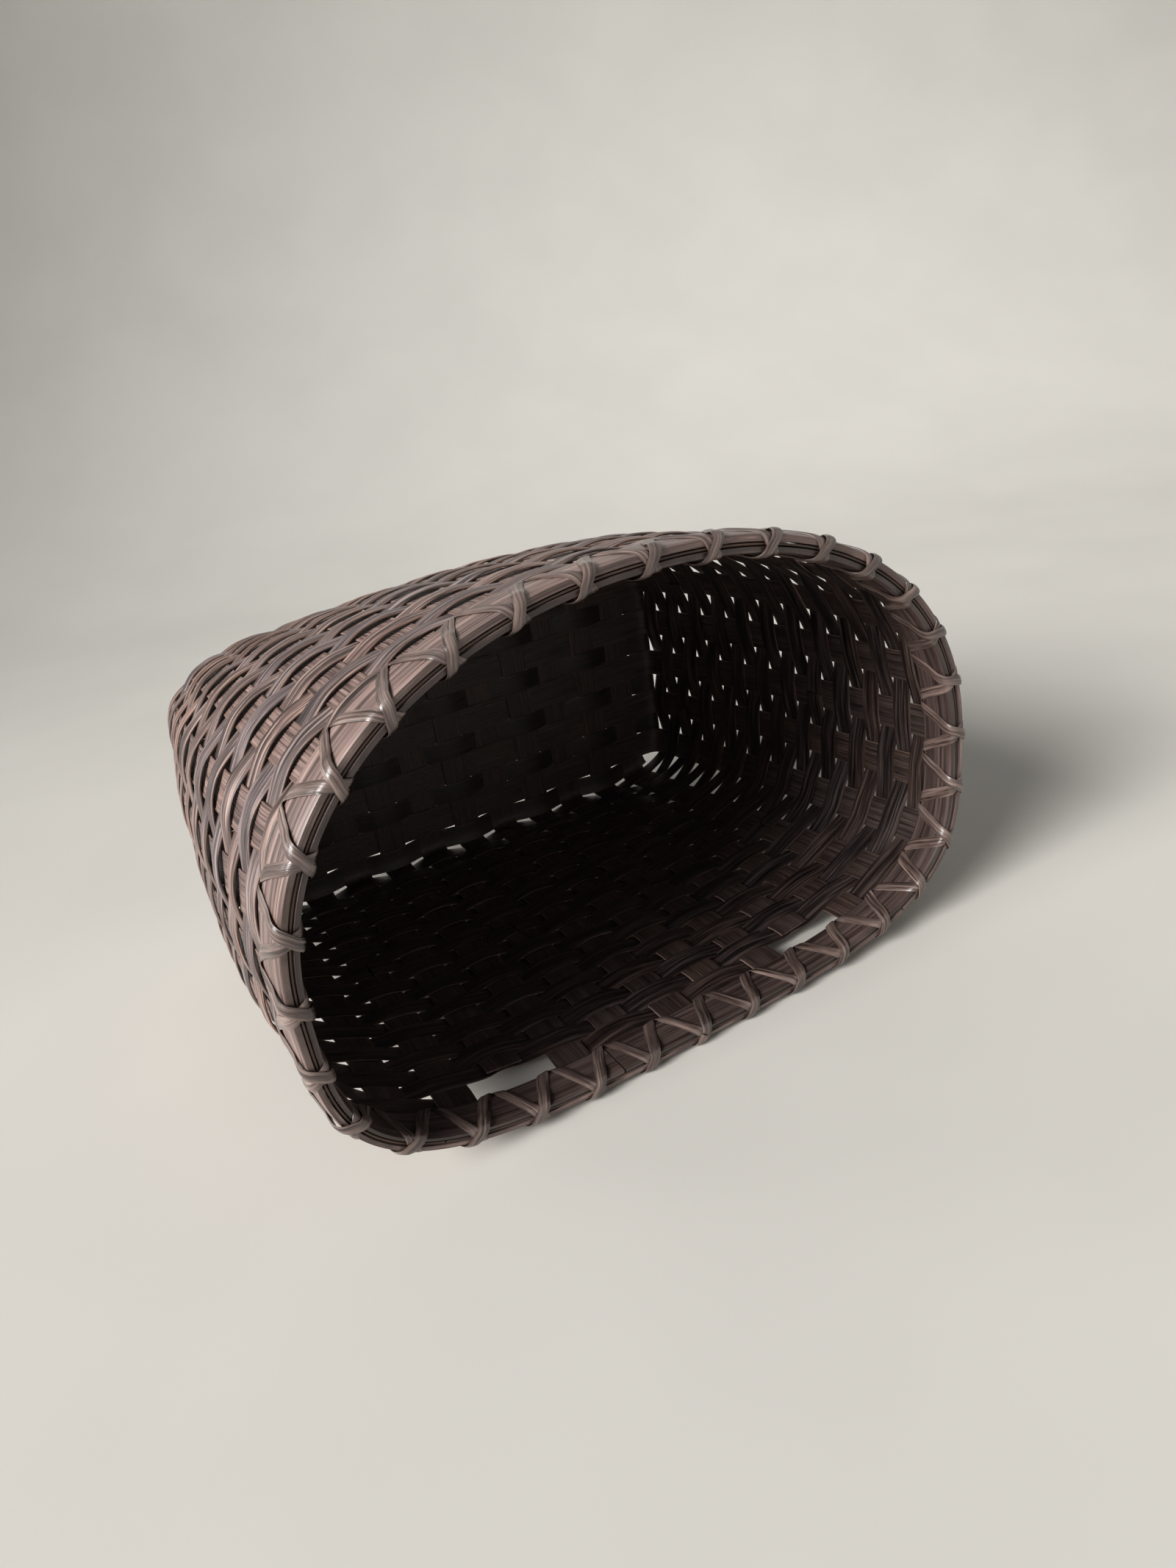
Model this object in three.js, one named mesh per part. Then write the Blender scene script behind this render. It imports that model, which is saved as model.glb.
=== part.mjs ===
// Half-round reed mail basket, lying on its flat back with its mouth towards -Y.
// Sixteen flat stakes cross in the base and stand up as thirty-two wall stakes. Rows of
// flat-oval weavers pass outside one stake and inside the next. Two bands with a filler
// between them close the rim, bound on by two strands of cane that cross over every stake.
// Under the rim two stakes of the back are cut short, which leaves two hanging slots.
import * as THREE from 'three';

// Mouth outline at the middle of the rim: an arch over a nearly flat back, in millimetres
const mouthWidth = 300;
const mouthDepth = 198;
const mouthWidestLine = 82;
const mouthArchPower = 2.2;
const mouthBackPower = 3.4;

// Height from the mouth plane to the middle of the base, and the swell of the walls
const basketHeight = 239;
const wallBelly = 9;
const bendRise = 2;

// Stakes: flat reed, eleven from back to front and five from side to side
const longStakeCount = 11;
const crossStakeCount = 5;
const stakeWidth = 16;
const stakeThickness = 1;
const stakeEndDepth = 4;

// Base: a rounded oblong, with narrow fillers between the cross stakes
const baseWidth = 286;
const baseDepth = 154;
const baseBackPower = 8;
const baseArchPower = 5;
const baseSideMargin = 15;
const baseFrontMargin = 18;
const fillerThickness = 0.9;
const fillerSideFit = 0.45;
const fillerTail = 9;
const cornerFillerTail = 3;

// Weavers: flat-oval reed with the rounded side outwards
const weaverWidth = 9.5;
const weaverThickness = 1.8;
const weaverCrownShare = 0.6;
const weaverRowGap = 0.7;
const weaverOutsideClearance = 2;
const weaverInsideClearance = 1.9;
const weaverOutsideReach = 1.5;
const weaverInsideReach = 0.5;
const weaverTuck = 2;
const weaverEndGap = 0.8;

// Rim bands, the filler on top of the stake ends, and the cane lashing
const rimHeight = 17.5;
const bandSeat = 0.8;
const outerBandThickness = 1.9;
const innerBandThickness = 2;
const rimFillerThickness = 1;
const rimFillerHeight = 3.6;
const bandEndGap = 0.8;
const caneWidth = 5.8;
const caneThickness = 0.7;
const caneSeat = 0.35;
const caneBow = 1;
const caneTopSpread = 3.1;
const caneHoleSpread = 2.6;
const caneEndShare = 0.86;

// Slack between pieces that touch
const fit = 0.3;

// Stations count the wall stakes from the middle of the back. The stake at this count on each
// side of the middle is cut for a hanging slot, and the bands have their joints in these gaps.
const slotStakeIndex = 3;
const outerBandJointIndex = -4.5;
const innerBandJointIndex = 1.5;
const rimFillerJointIndex = 4.5;
const rowJointIndexStep = 3;

const wallSegmentCount = 8;
const outlineStepCount = 2000;

const stations = 2 * (longStakeCount + crossStakeCount);
const halfLong = (longStakeCount - 1) / 2;
const baseHalfWidth = baseWidth / 2;
const longPitch = (baseHalfWidth - baseSideMargin - stakeWidth / 2) / halfLong;
const crossSpace = baseDepth - bendRise - baseFrontMargin;
const crossPitch = crossSpace / crossStakeCount;
const crossGap = crossPitch - stakeWidth;
const fillerWidth = crossGap - 2 * fillerSideFit;
const firstCrossEdge = bendRise + crossGap;
const wallFoot = basketHeight - bendRise;
const frontStation = stations / 2;

// Layers of the base: stakes lie in three layers, and fillers wind round the outer two
const layerStep = stakeThickness + fit;
const fillerLift = layerStep + stakeThickness / 2 + fit + fillerThickness / 2;

// Offsets of the rim's faces and of the weavers from the middle of the stakes
const stakeFace = stakeThickness / 2;
const outerBandFace = stakeFace + bandSeat + outerBandThickness;
const innerBandFace = stakeFace + bandSeat + innerBandThickness;
const weaverOutside = stakeFace + weaverOutsideClearance + weaverThickness / 2;
const weaverInside = stakeFace + weaverInsideClearance + weaverThickness / 2;
const caneFirstLayer = caneSeat + caneThickness / 2;
const caneSecondLayer = caneFirstLayer + caneThickness + caneSeat;
const caneFaceLayer = caneFirstLayer + caneBow;
const rowsStart = rimHeight + caneSecondLayer + caneThickness / 2 + 2 * fit + weaverRowGap;
const rowPitch = weaverWidth + weaverRowGap;
const rowCount = Math.floor((wallFoot - rowsStart) / rowPitch);
const slotFarEdge = rowsStart + rowPitch;

// A closed outline of two half superellipses that meet on the widest line, in x and z
class HalfRoundOutline extends THREE.Curve {
  constructor(halfWidth, depth, widestLine, archPower, backPower) {
    super();
    Object.assign(this, { halfWidth, depth, widestLine, archPower, backPower });
    this.arcLengthDivisions = outlineStepCount;
  }

  // The half of the outline on one side of the widest line
  half(above) {
    const rise = above ? this.depth - this.widestLine : this.widestLine;
    return { rise, power: above ? this.archPower : this.backPower };
  }

  // Runs from the middle of the back towards -x and round over the arch
  getPoint(t, target = new THREE.Vector2()) {
    const angle = 2 * Math.PI * t;
    const { rise, power } = this.half(Math.cos(angle) < 0);
    const sine = Math.sin(angle);
    const cosine = Math.cos(angle);
    const x = -this.halfWidth * Math.sign(sine) * Math.abs(sine) ** (2 / power);
    const z = this.widestLine - rise * Math.sign(cosine) * Math.abs(cosine) ** (2 / power);
    return target.set(x, z);
  }

  // Height of the outline at a place across it
  heightAt(x, above) {
    const { rise, power } = this.half(above);
    const share = (1 - Math.abs(x / this.halfWidth) ** power) ** (1 / power);
    return this.widestLine + (above ? rise : -rise) * share;
  }

  // Half width of the outline at a height
  halfWidthAt(z) {
    const { rise, power } = this.half(z > this.widestLine);
    return this.halfWidth * (1 - Math.abs((z - this.widestLine) / rise) ** power) ** (1 / power);
  }

  normalAt(point) {
    const fromLine = point.y - this.widestLine;
    const { rise, power } = this.half(fromLine > 0);
    const x = Math.sign(point.x) * Math.abs(point.x / this.halfWidth) ** (power - 1) / this.halfWidth;
    const z = Math.sign(fromLine) * Math.abs(fromLine / rise) ** (power - 1) / rise;
    return new THREE.Vector2(x, z).normalize();
  }
}

const mouthHalfWidth = mouthWidth / 2;
const mouthPowers = [mouthArchPower, mouthBackPower];
const mouth = new HalfRoundOutline(mouthHalfWidth, mouthDepth, mouthWidestLine, ...mouthPowers);
const base = new HalfRoundOutline(baseHalfWidth, baseDepth, baseDepth / 2, baseArchPower, baseBackPower);
const stationPitch = mouth.getLength() / stations;

const wrapStation = (station) => ((station % stations) + stations) % stations;

// Middle of a cross stake, counted from the back
const crossStakeHeight = (index) => firstCrossEdge + stakeWidth / 2 + index * crossPitch;

// Where the stake of a station leaves the base, and the way it faces there
function stationFoot(station) {
  const fromBack = station > frontStation ? station - stations : station;
  const fromFront = station - frontStation;
  if (Math.abs(fromBack) <= halfLong) {
    const x = -fromBack * longPitch;
    return { point: new THREE.Vector2(x, base.heightAt(x, false)), normal: new THREE.Vector2(0, -1) };
  }
  if (Math.abs(fromFront) <= halfLong) {
    const x = fromFront * longPitch;
    return { point: new THREE.Vector2(x, base.heightAt(x, true)), normal: new THREE.Vector2(0, 1) };
  }
  const side = Math.sign(fromFront);
  const z = crossStakeHeight(Math.abs(fromBack) - halfLong - 1);
  return { point: new THREE.Vector2(side * base.halfWidthAt(z), z), normal: new THREE.Vector2(side, 0) };
}

// Places and facing of a wall stake at even steps from the mouth plane to the base
function wallKnots(station) {
  const foot = stationFoot(station);
  const rimPoint = mouth.getPointAt(station / stations);
  const rimNormal = mouth.normalAt(rimPoint);
  const knots = [];
  for (let step = 0; step <= wallSegmentCount; step += 1) {
    const down = step / wallSegmentCount;
    const normal = rimNormal.clone().lerp(foot.normal, down).normalize();
    const swell = wallBelly * Math.sin(Math.PI * down) * Math.min(1, 1 + normal.y);
    const point = rimPoint.clone().lerp(foot.point, down).addScaledVector(normal, swell);
    knots.push({ point, normal });
  }
  return knots;
}

const walls = Array.from({ length: stations }, (_, station) => wallKnots(station));

// A point on a wall stake's frame: along the row, out from the wall and down from the mouth
function wallPoint(station, along, out, depth) {
  const knots = walls[wrapStation(station)];
  const place = depth / wallFoot * wallSegmentCount;
  const lower = Math.min(Math.max(Math.floor(place), 0), wallSegmentCount - 1);
  const share = place - lower;
  const point = knots[lower].point.clone().lerp(knots[lower + 1].point, share);
  const normal = knots[lower].normal.clone().lerp(knots[lower + 1].normal, share).normalize();
  const x = point.x + normal.x * out + normal.y * along;
  const z = point.y + normal.y * out - normal.x * along;
  return new THREE.Vector3(x, depth, z);
}

// A closed solid through a run of like sections, each listed anticlockwise seen from the far end.
// Facing sides are split along like diagonals, so that a twisted strip keeps its thickness.
function loft(sections) {
  const sides = sections[0].length;
  const corners = sections.flat();
  const faces = [];
  for (let row = 0; row + 1 < sections.length; row += 1) {
    for (let side = 0; side < sides; side += 1) {
      const near = row * sides + side;
      const next = row * sides + (side + 1) % sides;
      if (side < sides / 2) {
        faces.push(near, next, next + sides, near, next + sides, near + sides);
      } else {
        faces.push(near, next, near + sides, next, next + sides, near + sides);
      }
    }
  }
  const last = (sections.length - 1) * sides;
  for (let side = 1; side + 1 < sides; side += 1) {
    faces.push(0, side + 1, side);
    faces.push(last, last + side, last + side + 1);
  }
  const geometry = new THREE.BufferGeometry().setFromPoints(corners);
  geometry.setIndex(faces);
  geometry.computeVertexNormals();
  return geometry;
}

const parts = new THREE.Group();

function addPiece(name, geometry, colour, roughness) {
  const material = new THREE.MeshStandardMaterial({ color: colour, roughness, metalness: 0 });
  const piece = new THREE.Mesh(geometry, material);
  piece.name = name;
  parts.add(piece);
}

const numbered = (name, number) => `${name}_${String(number).padStart(2, '0')}`;

// Stakes
function stakeWallSection(station, depth, sense) {
  const half = sense * stakeWidth / 2;
  return [
    wallPoint(station, -half, -stakeFace, depth),
    wallPoint(station, half, -stakeFace, depth),
    wallPoint(station, half, stakeFace, depth),
    wallPoint(station, -half, stakeFace, depth),
  ];
}

// Depths at which a wall stake has a section, from its end at the rim to the base bend
function stakeDepths(endDepth) {
  const depths = [endDepth];
  for (let step = 1; step <= wallSegmentCount; step += 1) {
    const depth = step / wallSegmentCount * wallFoot;
    if (depth > endDepth) {
      depths.push(depth);
    }
  }
  return depths;
}

// A strip of the base, square to the base plane
function baseSection(middle, across, halfWidth, halfThickness) {
  const up = new THREE.Vector3(0, halfThickness, 0);
  const left = middle.clone().addScaledVector(across, -halfWidth);
  const right = middle.clone().addScaledVector(across, halfWidth);
  return [left.clone().sub(up), right.clone().sub(up), right.clone().add(up), left.clone().add(up)];
}

// A stake runs down one wall, across the base and up the wall opposite
function stakeGeometry(startStation, endStation, across, layer, startDepth) {
  const sections = stakeDepths(startDepth).map((depth) => stakeWallSection(startStation, depth, -1));
  const middles = [startStation, endStation].map((station) => {
    const { point, normal } = stationFoot(wrapStation(station));
    const inner = point.clone().addScaledVector(normal, -bendRise);
    return new THREE.Vector3(inner.x, basketHeight + layer * layerStep, inner.y);
  });
  middles.forEach((middle) => sections.push(baseSection(middle, across, stakeWidth / 2, stakeFace)));
  const rising = stakeDepths(stakeEndDepth).reverse();
  rising.forEach((depth) => sections.push(stakeWallSection(endStation, depth, 1)));
  return loft(sections);
}

const stakeColour = 0x4a352c;
for (let index = -halfLong; index <= halfLong; index += 1) {
  const layer = index % 2 === 0 ? -1 : 1;
  const startDepth = Math.abs(index) === slotStakeIndex ? slotFarEdge : stakeEndDepth;
  const across = new THREE.Vector3(1, 0, 0);
  const geometry = stakeGeometry(-index, frontStation + index, across, layer, startDepth);
  addPiece(numbered('long_stake', index + halfLong + 1), geometry, stakeColour, 0.75);
}
for (let index = 0; index < crossStakeCount; index += 1) {
  const station = halfLong + 1 + index;
  const across = new THREE.Vector3(0, 0, -1);
  const geometry = stakeGeometry(station, stations - station, across, 0, stakeEndDepth);
  addPiece(numbered('cross_stake', index + 1), geometry, stakeColour, 0.75);
}

// Base fillers pass outside the long stakes of the outer layer and inside those of the inner one
function fillerGeometry(height, reach, tail) {
  const across = new THREE.Vector3(0, 0, -1);
  const overEdge = stakeWidth / 2 + fillerThickness / 2;
  const sections = [];
  const addSection = (x, lift) => {
    const middle = new THREE.Vector3(x, basketHeight + lift, height);
    sections.push(baseSection(middle, across, fillerWidth / 2, fillerThickness / 2));
  };
  for (let index = -reach; index <= reach; index += 1) {
    const lift = index % 2 === 0 ? -fillerLift : fillerLift;
    const startTail = index === -reach ? tail : 0;
    const endTail = index === reach ? tail : 0;
    addSection(index * longPitch - overEdge - startTail, lift);
    addSection(index * longPitch + overEdge + endTail, lift);
  }
  return loft(sections);
}

// The outer fillers stop where the corner stakes already bend up to the walls
for (let index = 0; index <= crossStakeCount; index += 1) {
  const height = crossStakeHeight(index) - crossPitch / 2;
  const atBack = index === 0;
  const atFront = index === crossStakeCount;
  const reach = halfLong - (atBack ? 1 : 0) - (atFront ? 2 : 0);
  const tail = atBack || atFront ? cornerFillerTail : fillerTail;
  addPiece(numbered('base_filler', index + 1), fillerGeometry(height, reach, tail), 0x46332b, 0.75);
}

// Weavers
function weaverSection(station, along, out, depth) {
  const half = weaverWidth / 2;
  const crown = half * weaverCrownShare;
  const inner = out - weaverThickness / 2;
  const outer = out + weaverThickness / 2;
  return [
    wallPoint(station, along, inner, depth - half),
    wallPoint(station, along, inner, depth + half),
    wallPoint(station, along, outer, depth + crown),
    wallPoint(station, along, outer, depth - crown),
  ];
}

const rowDepth = (row) => rowsStart + (row - 0.5) * rowPitch;
const passesOutside = (station, row) => wrapStation(station + row) % 2 === 1;
const weaverOffset = (station, row) => (passesOutside(station, row) ? weaverOutside : -weaverInside);
const outsideHalfSpan = stakeWidth / 2 + weaverOutsideReach;
const insideHalfSpan = stakeWidth / 2 - weaverInsideReach;
const halfSpan = (station, row) => (passesOutside(station, row) ? outsideHalfSpan : insideHalfSpan);

// A strip from one stake to another, with its ends at given places along those stakes
function weaverGeometry(row, first, firstAlong, last, lastAlong) {
  const depth = rowDepth(row);
  const sections = [];
  for (let station = first; station <= last; station += 1) {
    const out = weaverOffset(station, row);
    const span = halfSpan(station, row);
    const from = station === first ? firstAlong : -span;
    const to = station === last ? lastAlong : span;
    sections.push(weaverSection(station, from, out, depth));
    sections.push(weaverSection(station, to, out, depth));
  }
  return loft(sections);
}

const weaverColour = 0x3d2d28;
const weaverRoughness = 0.6;

// The row under the rim stops behind the stakes beside each slot
const tuckedEnd = stakeWidth / 2 - weaverTuck;
const besideSlot = slotStakeIndex + 1;
const slotRowFront = weaverGeometry(1, besideSlot, -tuckedEnd, stations - besideSlot, tuckedEnd);
const slotRowBack = weaverGeometry(1, 1 - slotStakeIndex, -tuckedEnd, slotStakeIndex - 1, tuckedEnd);
addPiece('slot_row_front', slotRowFront, weaverColour, weaverRoughness);
addPiece('slot_row_back', slotRowBack, weaverColour, weaverRoughness);

// Every other row is one strip whose two ends meet inside a stake, each row at another stake
for (let row = 2; row <= rowCount; row += 1) {
  const near = rowJointIndexStep * row;
  const joint = passesOutside(near, row) ? near + 1 : near;
  const geometry = weaverGeometry(row, joint, weaverEndGap / 2, joint + stations, -weaverEndGap / 2);
  addPiece(numbered('weaver_row', row), geometry, weaverColour, weaverRoughness);
}

// Rim: bands lie flat on each stake and straight across each gap
const bandFlat = stakeWidth / 2 + fit;

function rimPoint(station, out, depth) {
  const nearest = Math.round(station);
  const along = (station - nearest) * stationPitch;
  if (Math.abs(along) <= bandFlat) {
    return wallPoint(nearest, along, out, depth);
  }
  const sense = Math.sign(along);
  const share = (Math.abs(along) - bandFlat) / (stationPitch - 2 * bandFlat);
  const start = wallPoint(nearest, sense * bandFlat, out, depth);
  return start.lerp(wallPoint(nearest + sense, -sense * bandFlat, out, depth), share);
}

// A band round the rim from a gap between two stakes to the same gap
function bandGeometry(joint, inner, outer, top, bottom) {
  const flatShare = bandFlat / stationPitch;
  const places = [joint + bandEndGap / 2 / stationPitch];
  for (let station = Math.ceil(joint); station < joint + stations; station += 1) {
    places.push(station - flatShare, station + flatShare);
  }
  places.push(joint + stations - bandEndGap / 2 / stationPitch);
  return loft(places.map((place) => [
    rimPoint(place, inner, top),
    rimPoint(place, inner, bottom),
    rimPoint(place, outer, bottom),
    rimPoint(place, outer, top),
  ]));
}

const rimColour = 0x55403a;
const rimFillerFace = rimFillerThickness / 2;
const bandInside = stakeFace + bandSeat;
const outerBand = bandGeometry(outerBandJointIndex, bandInside, outerBandFace, 0, rimHeight);
const innerBand = bandGeometry(innerBandJointIndex, -innerBandFace, -bandInside, 0, rimHeight);
const rimFiller = bandGeometry(rimFillerJointIndex, -rimFillerFace, rimFillerFace, 0, rimFillerHeight);
addPiece('rim_outer_band', outerBand, rimColour, 0.55);
addPiece('rim_inner_band', innerBand, rimColour, 0.55);
addPiece('rim_filler', rimFiller, rimColour, 0.6);

// Cane lashing: a strand crosses the rim's top at each stake and passes under it in each gap
const topSpread = caneTopSpread / stationPitch;
const holeSpread = caneHoleSpread / stationPitch;

// A strand bends over the edge of the stake's flat on its way down each face
const flatPlace = bandFlat / stationPitch;
const flatDepth = rimHeight * (flatPlace - topSpread) / (0.5 - holeSpread - topSpread);

// A section of cane at a depth on the rim, listed for the way that the strand runs
function caneSection(station, inside, depth, layer, sense) {
  const half = sense * caneWidth / 2 / stationPitch;
  const edge = depth === 0 ? -1 : Number(depth === rimHeight);
  const corner = (place, lift) => {
    const out = inside ? -innerBandFace - lift : outerBandFace + lift;
    return rimPoint(place, out, depth + edge * lift);
  };
  const low = layer - caneThickness / 2;
  const high = layer + caneThickness / 2;
  return [
    corner(station - half, low),
    corner(station + half, low),
    corner(station + half, high),
    corner(station - half, high),
  ];
}

// One strand: downInside sets the face that it runs down, and layer its lift where strands cross
function strandSections(downInside, layer) {
  const sense = downInside ? 1 : -1;
  const sections = [];
  const add = (place, inside, depth, lift) => sections.push(caneSection(place, inside, depth, lift, sense));
  for (let station = 0; station < stations; station += 1) {
    add(station - topSpread, !downInside, 0, layer);
    add(station + topSpread, downInside, 0, layer);
    add(station + flatPlace, downInside, flatDepth, caneFaceLayer);
    add(station + 0.5 - holeSpread, downInside, rimHeight, layer);
    add(station + 0.5 + holeSpread, !downInside, rimHeight, layer);
    add(station + 1 - flatPlace, !downInside, flatDepth, caneFaceLayer);
  }
  const final = sections[sections.length - 1];
  sections.push(final.map((corner, index) => corner.clone().lerp(sections[0][index], caneEndShare)));
  return sections;
}

// Least distance between a strand and its own next turns, taken between section corners
function leastGap(sections) {
  let least = Infinity;
  const neighbours = 3;
  for (let one = 0; one < sections.length; one += 1) {
    for (let other = one + neighbours; other < sections.length; other += 1) {
      sections[one].forEach((corner) => sections[other].forEach((point) => {
        least = Math.min(least, corner.distanceTo(point));
      }));
    }
  }
  return least;
}

const caneColour = 0x4b3932;
const firstStrand = strandSections(true, caneFirstLayer);
const secondStrand = strandSections(false, caneSecondLayer);
addPiece('lashing_first_strand', loft(firstStrand), caneColour, 0.4);
addPiece('lashing_second_strand', loft(secondStrand), caneColour, 0.4);
const strandGaps = [firstStrand, secondStrand].map((sections) => leastGap(sections).toFixed(2));
console.log(`least gap of each lashing strand to itself: ${strandGaps.join(' and ')} mm`);

// The origin is under the middle of the basket, on the surface that the back lies on
const bounds = new THREE.Box3().setFromObject(parts);
const middle = bounds.getCenter(new THREE.Vector3());
parts.position.set(-middle.x, -middle.y, -bounds.min.z);

const basket = new THREE.Group();
basket.name = 'mail_basket';
basket.add(parts);

export default basket;
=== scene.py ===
"""Half-round mail basket of dark-stained reed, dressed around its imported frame.

Every strip of the basket is modelled once as a straight length of reed and laid along its own way
through the weave: stakes, base fillers, weavers, rim bands and the cane that binds the rim.
"""
from __future__ import annotations

import logging
import math
from collections.abc import Callable
from dataclasses import dataclass, field
from enum import Enum

import bpy
import numpy as np
from mathutils import Matrix, Vector


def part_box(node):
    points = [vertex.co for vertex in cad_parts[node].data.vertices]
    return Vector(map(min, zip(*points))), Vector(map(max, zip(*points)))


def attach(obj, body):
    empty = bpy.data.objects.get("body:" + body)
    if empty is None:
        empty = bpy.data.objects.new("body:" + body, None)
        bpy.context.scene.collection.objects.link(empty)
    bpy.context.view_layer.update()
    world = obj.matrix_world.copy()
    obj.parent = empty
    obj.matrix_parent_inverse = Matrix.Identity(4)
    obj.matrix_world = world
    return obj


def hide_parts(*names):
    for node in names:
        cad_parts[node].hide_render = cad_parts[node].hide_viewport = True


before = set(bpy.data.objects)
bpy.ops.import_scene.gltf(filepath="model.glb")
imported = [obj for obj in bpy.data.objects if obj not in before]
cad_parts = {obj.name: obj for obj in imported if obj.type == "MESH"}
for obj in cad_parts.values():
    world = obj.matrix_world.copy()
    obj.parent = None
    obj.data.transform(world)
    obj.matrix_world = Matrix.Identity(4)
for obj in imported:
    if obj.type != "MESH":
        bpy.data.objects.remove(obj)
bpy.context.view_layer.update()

LOG = logging.getLogger("mail_basket")
MM = 0.001
DOWN_WALL = np.array([0.0, 1.0, 0.0])
REED_ATTRIBUTE = "reed"
TONE_ATTRIBUTE = "tone"
FACE_ATTRIBUTE = "outer_face"
# Share of a strip's thickness that its grain turns over the edges, and where its outer face begins.
EDGE_TURN = 0.9
OUTER_SIDE = -0.05
SEED = 26

Array = np.ndarray
Colour = tuple[float, float, float]
Shade = tuple[float, float, float, float]
Feed = bpy.types.NodeSocket | float | tuple[float, ...]


class Slot(Enum):
    """Material slots of the record."""

    STAKE = "stake_reed"
    BASE = "base_reed"
    WEAVER = "weaver_reed"
    RIM = "rim_reed"
    CANE = "lashing_cane"


def linear(red: int, green: int, blue: int) -> Shade:
    """Turn a colour as seen on a screen into a shader colour.

    Args:
        red: Red from 0 to 255.
        green: Green from 0 to 255.
        blue: Blue from 0 to 255.

    Returns:
        Linear red, green and blue, and an alpha of 1.
    """
    shares = [value / 255 for value in (red, green, blue)]
    curve = [c / 12.92 if c <= 0.04045 else ((c + 0.055) / 1.055) ** 2.4 for c in shares]
    return curve[0], curve[1], curve[2], 1.0


def unit(vectors: Array) -> Array:
    """Scale each vector of an array to length one."""
    return vectors / np.maximum(np.linalg.norm(vectors, axis=-1, keepdims=True), 1e-12)


def in_frame(flat: Array) -> Array:
    """Turn directions in x and z into directions of the frame."""
    return np.stack([flat[..., 0], np.zeros(flat.shape[:-1]), flat[..., 1]], axis=-1)


def rounded(controls: Array, levels: int) -> Array:
    """Round an open run of control rows into a smooth one, as a cubic spline does.

    Args:
        controls: One row of values for each control point.
        levels: How many times the number of rows is doubled.

    Returns:
        The smooth rows, from the first control row to the last.
    """
    rows = controls
    for _ in range(levels):
        kept = rows.copy()
        kept[1:-1] = (rows[:-2] + 6 * rows[1:-1] + rows[2:]) / 8
        between = (rows[:-1] + rows[1:]) / 2
        rows = np.empty((2 * len(kept) - 1, kept.shape[1]))
        rows[0::2], rows[1::2] = kept, between
    return rows


def select_edges(mesh: bpy.types.Mesh, chosen: Callable[[Vector, Vector], bool]) -> None:
    """Select, in edit mode, only the edges whose ends pass a test.

    Args:
        mesh: The mesh that is being edited.
        chosen: The test of the two ends of an edge.
    """
    bpy.ops.mesh.select_mode(type="EDGE")
    bpy.ops.mesh.select_all(action="DESELECT")
    bpy.ops.object.mode_set(mode="OBJECT")
    for edge in mesh.edges:
        one, two = (mesh.vertices[index].co for index in edge.vertices)
        edge.select = chosen(one, two)
    bpy.ops.object.mode_set(mode="EDIT")


# ---------------------------------------------------------------------------------------------
# The shape of the walls
# ---------------------------------------------------------------------------------------------


@dataclass(frozen=True)
class HalfRoundOutline:
    """A closed outline of two half superellipses that meet on the widest line, in millimetres."""

    half_width: float
    depth: float
    widest: float
    arch_power: float
    back_power: float

    def half(self, above: bool) -> tuple[float, float]:
        """Give the rise and the power of the half above or below the widest line."""
        return (self.depth - self.widest, self.arch_power) if above else (self.widest, self.back_power)

    def point(self, share: float) -> Array:
        """Give the point at a share of the angle.

        Args:
            share: Share of a whole turn, from the middle of the back towards -x.

        Returns:
            Its x and z.
        """
        sine, cosine = math.sin(2 * math.pi * share), math.cos(2 * math.pi * share)
        rise, power = self.half(cosine < 0)
        x = -self.half_width * math.copysign(abs(sine) ** (2 / power), sine)
        z = self.widest - rise * math.copysign(abs(cosine) ** (2 / power), cosine)
        return np.array([x, z])

    def even_points(self, places: Array, steps: int = 4000) -> Array:
        """Give the points at shares of the outline's length.

        Args:
            places: Shares of the whole length, which may run past one.
            steps: Number of chords that stand for the outline.

        Returns:
            One x and z for each place.
        """
        loop = np.array([self.point(step / steps) for step in range(steps + 1)])
        run = np.concatenate([[0], np.cumsum(np.linalg.norm(np.diff(loop, axis=0), axis=1))])
        want = np.mod(places, 1.0) * run[-1]
        return np.column_stack([np.interp(want, run, loop[:, 0]), np.interp(want, run, loop[:, 1])])

    def normals(self, points: Array) -> Array:
        """Give the outward normals of the outline.

        Args:
            points: Points of the outline, one row each.

        Returns:
            One x and z for each point.
        """
        from_line = points[:, 1] - self.widest
        above = from_line > 0
        rise = np.where(above, self.depth - self.widest, self.widest)
        power = np.where(above, self.arch_power, self.back_power)
        x = np.sign(points[:, 0]) * np.abs(points[:, 0] / self.half_width) ** (power - 1) / self.half_width
        z = np.sign(from_line) * np.abs(from_line / rise) ** (power - 1) / rise
        return unit(np.column_stack([x, z]))

    def height_at(self, x: float, above: bool) -> float:
        """Give the height of the outline at a place across it.

        Args:
            x: Place across the outline.
            above: Whether the half above the widest line is meant.

        Returns:
            The height.
        """
        rise, power = self.half(above)
        share = (1 - abs(x / self.half_width) ** power) ** (1 / power)
        return self.widest + (rise if above else -rise) * share

    def half_width_at(self, z: float) -> float:
        """Give the half width of the outline at a height."""
        rise, power = self.half(z > self.widest)
        return self.half_width * (1 - abs((z - self.widest) / rise) ** power) ** (1 / power)


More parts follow.
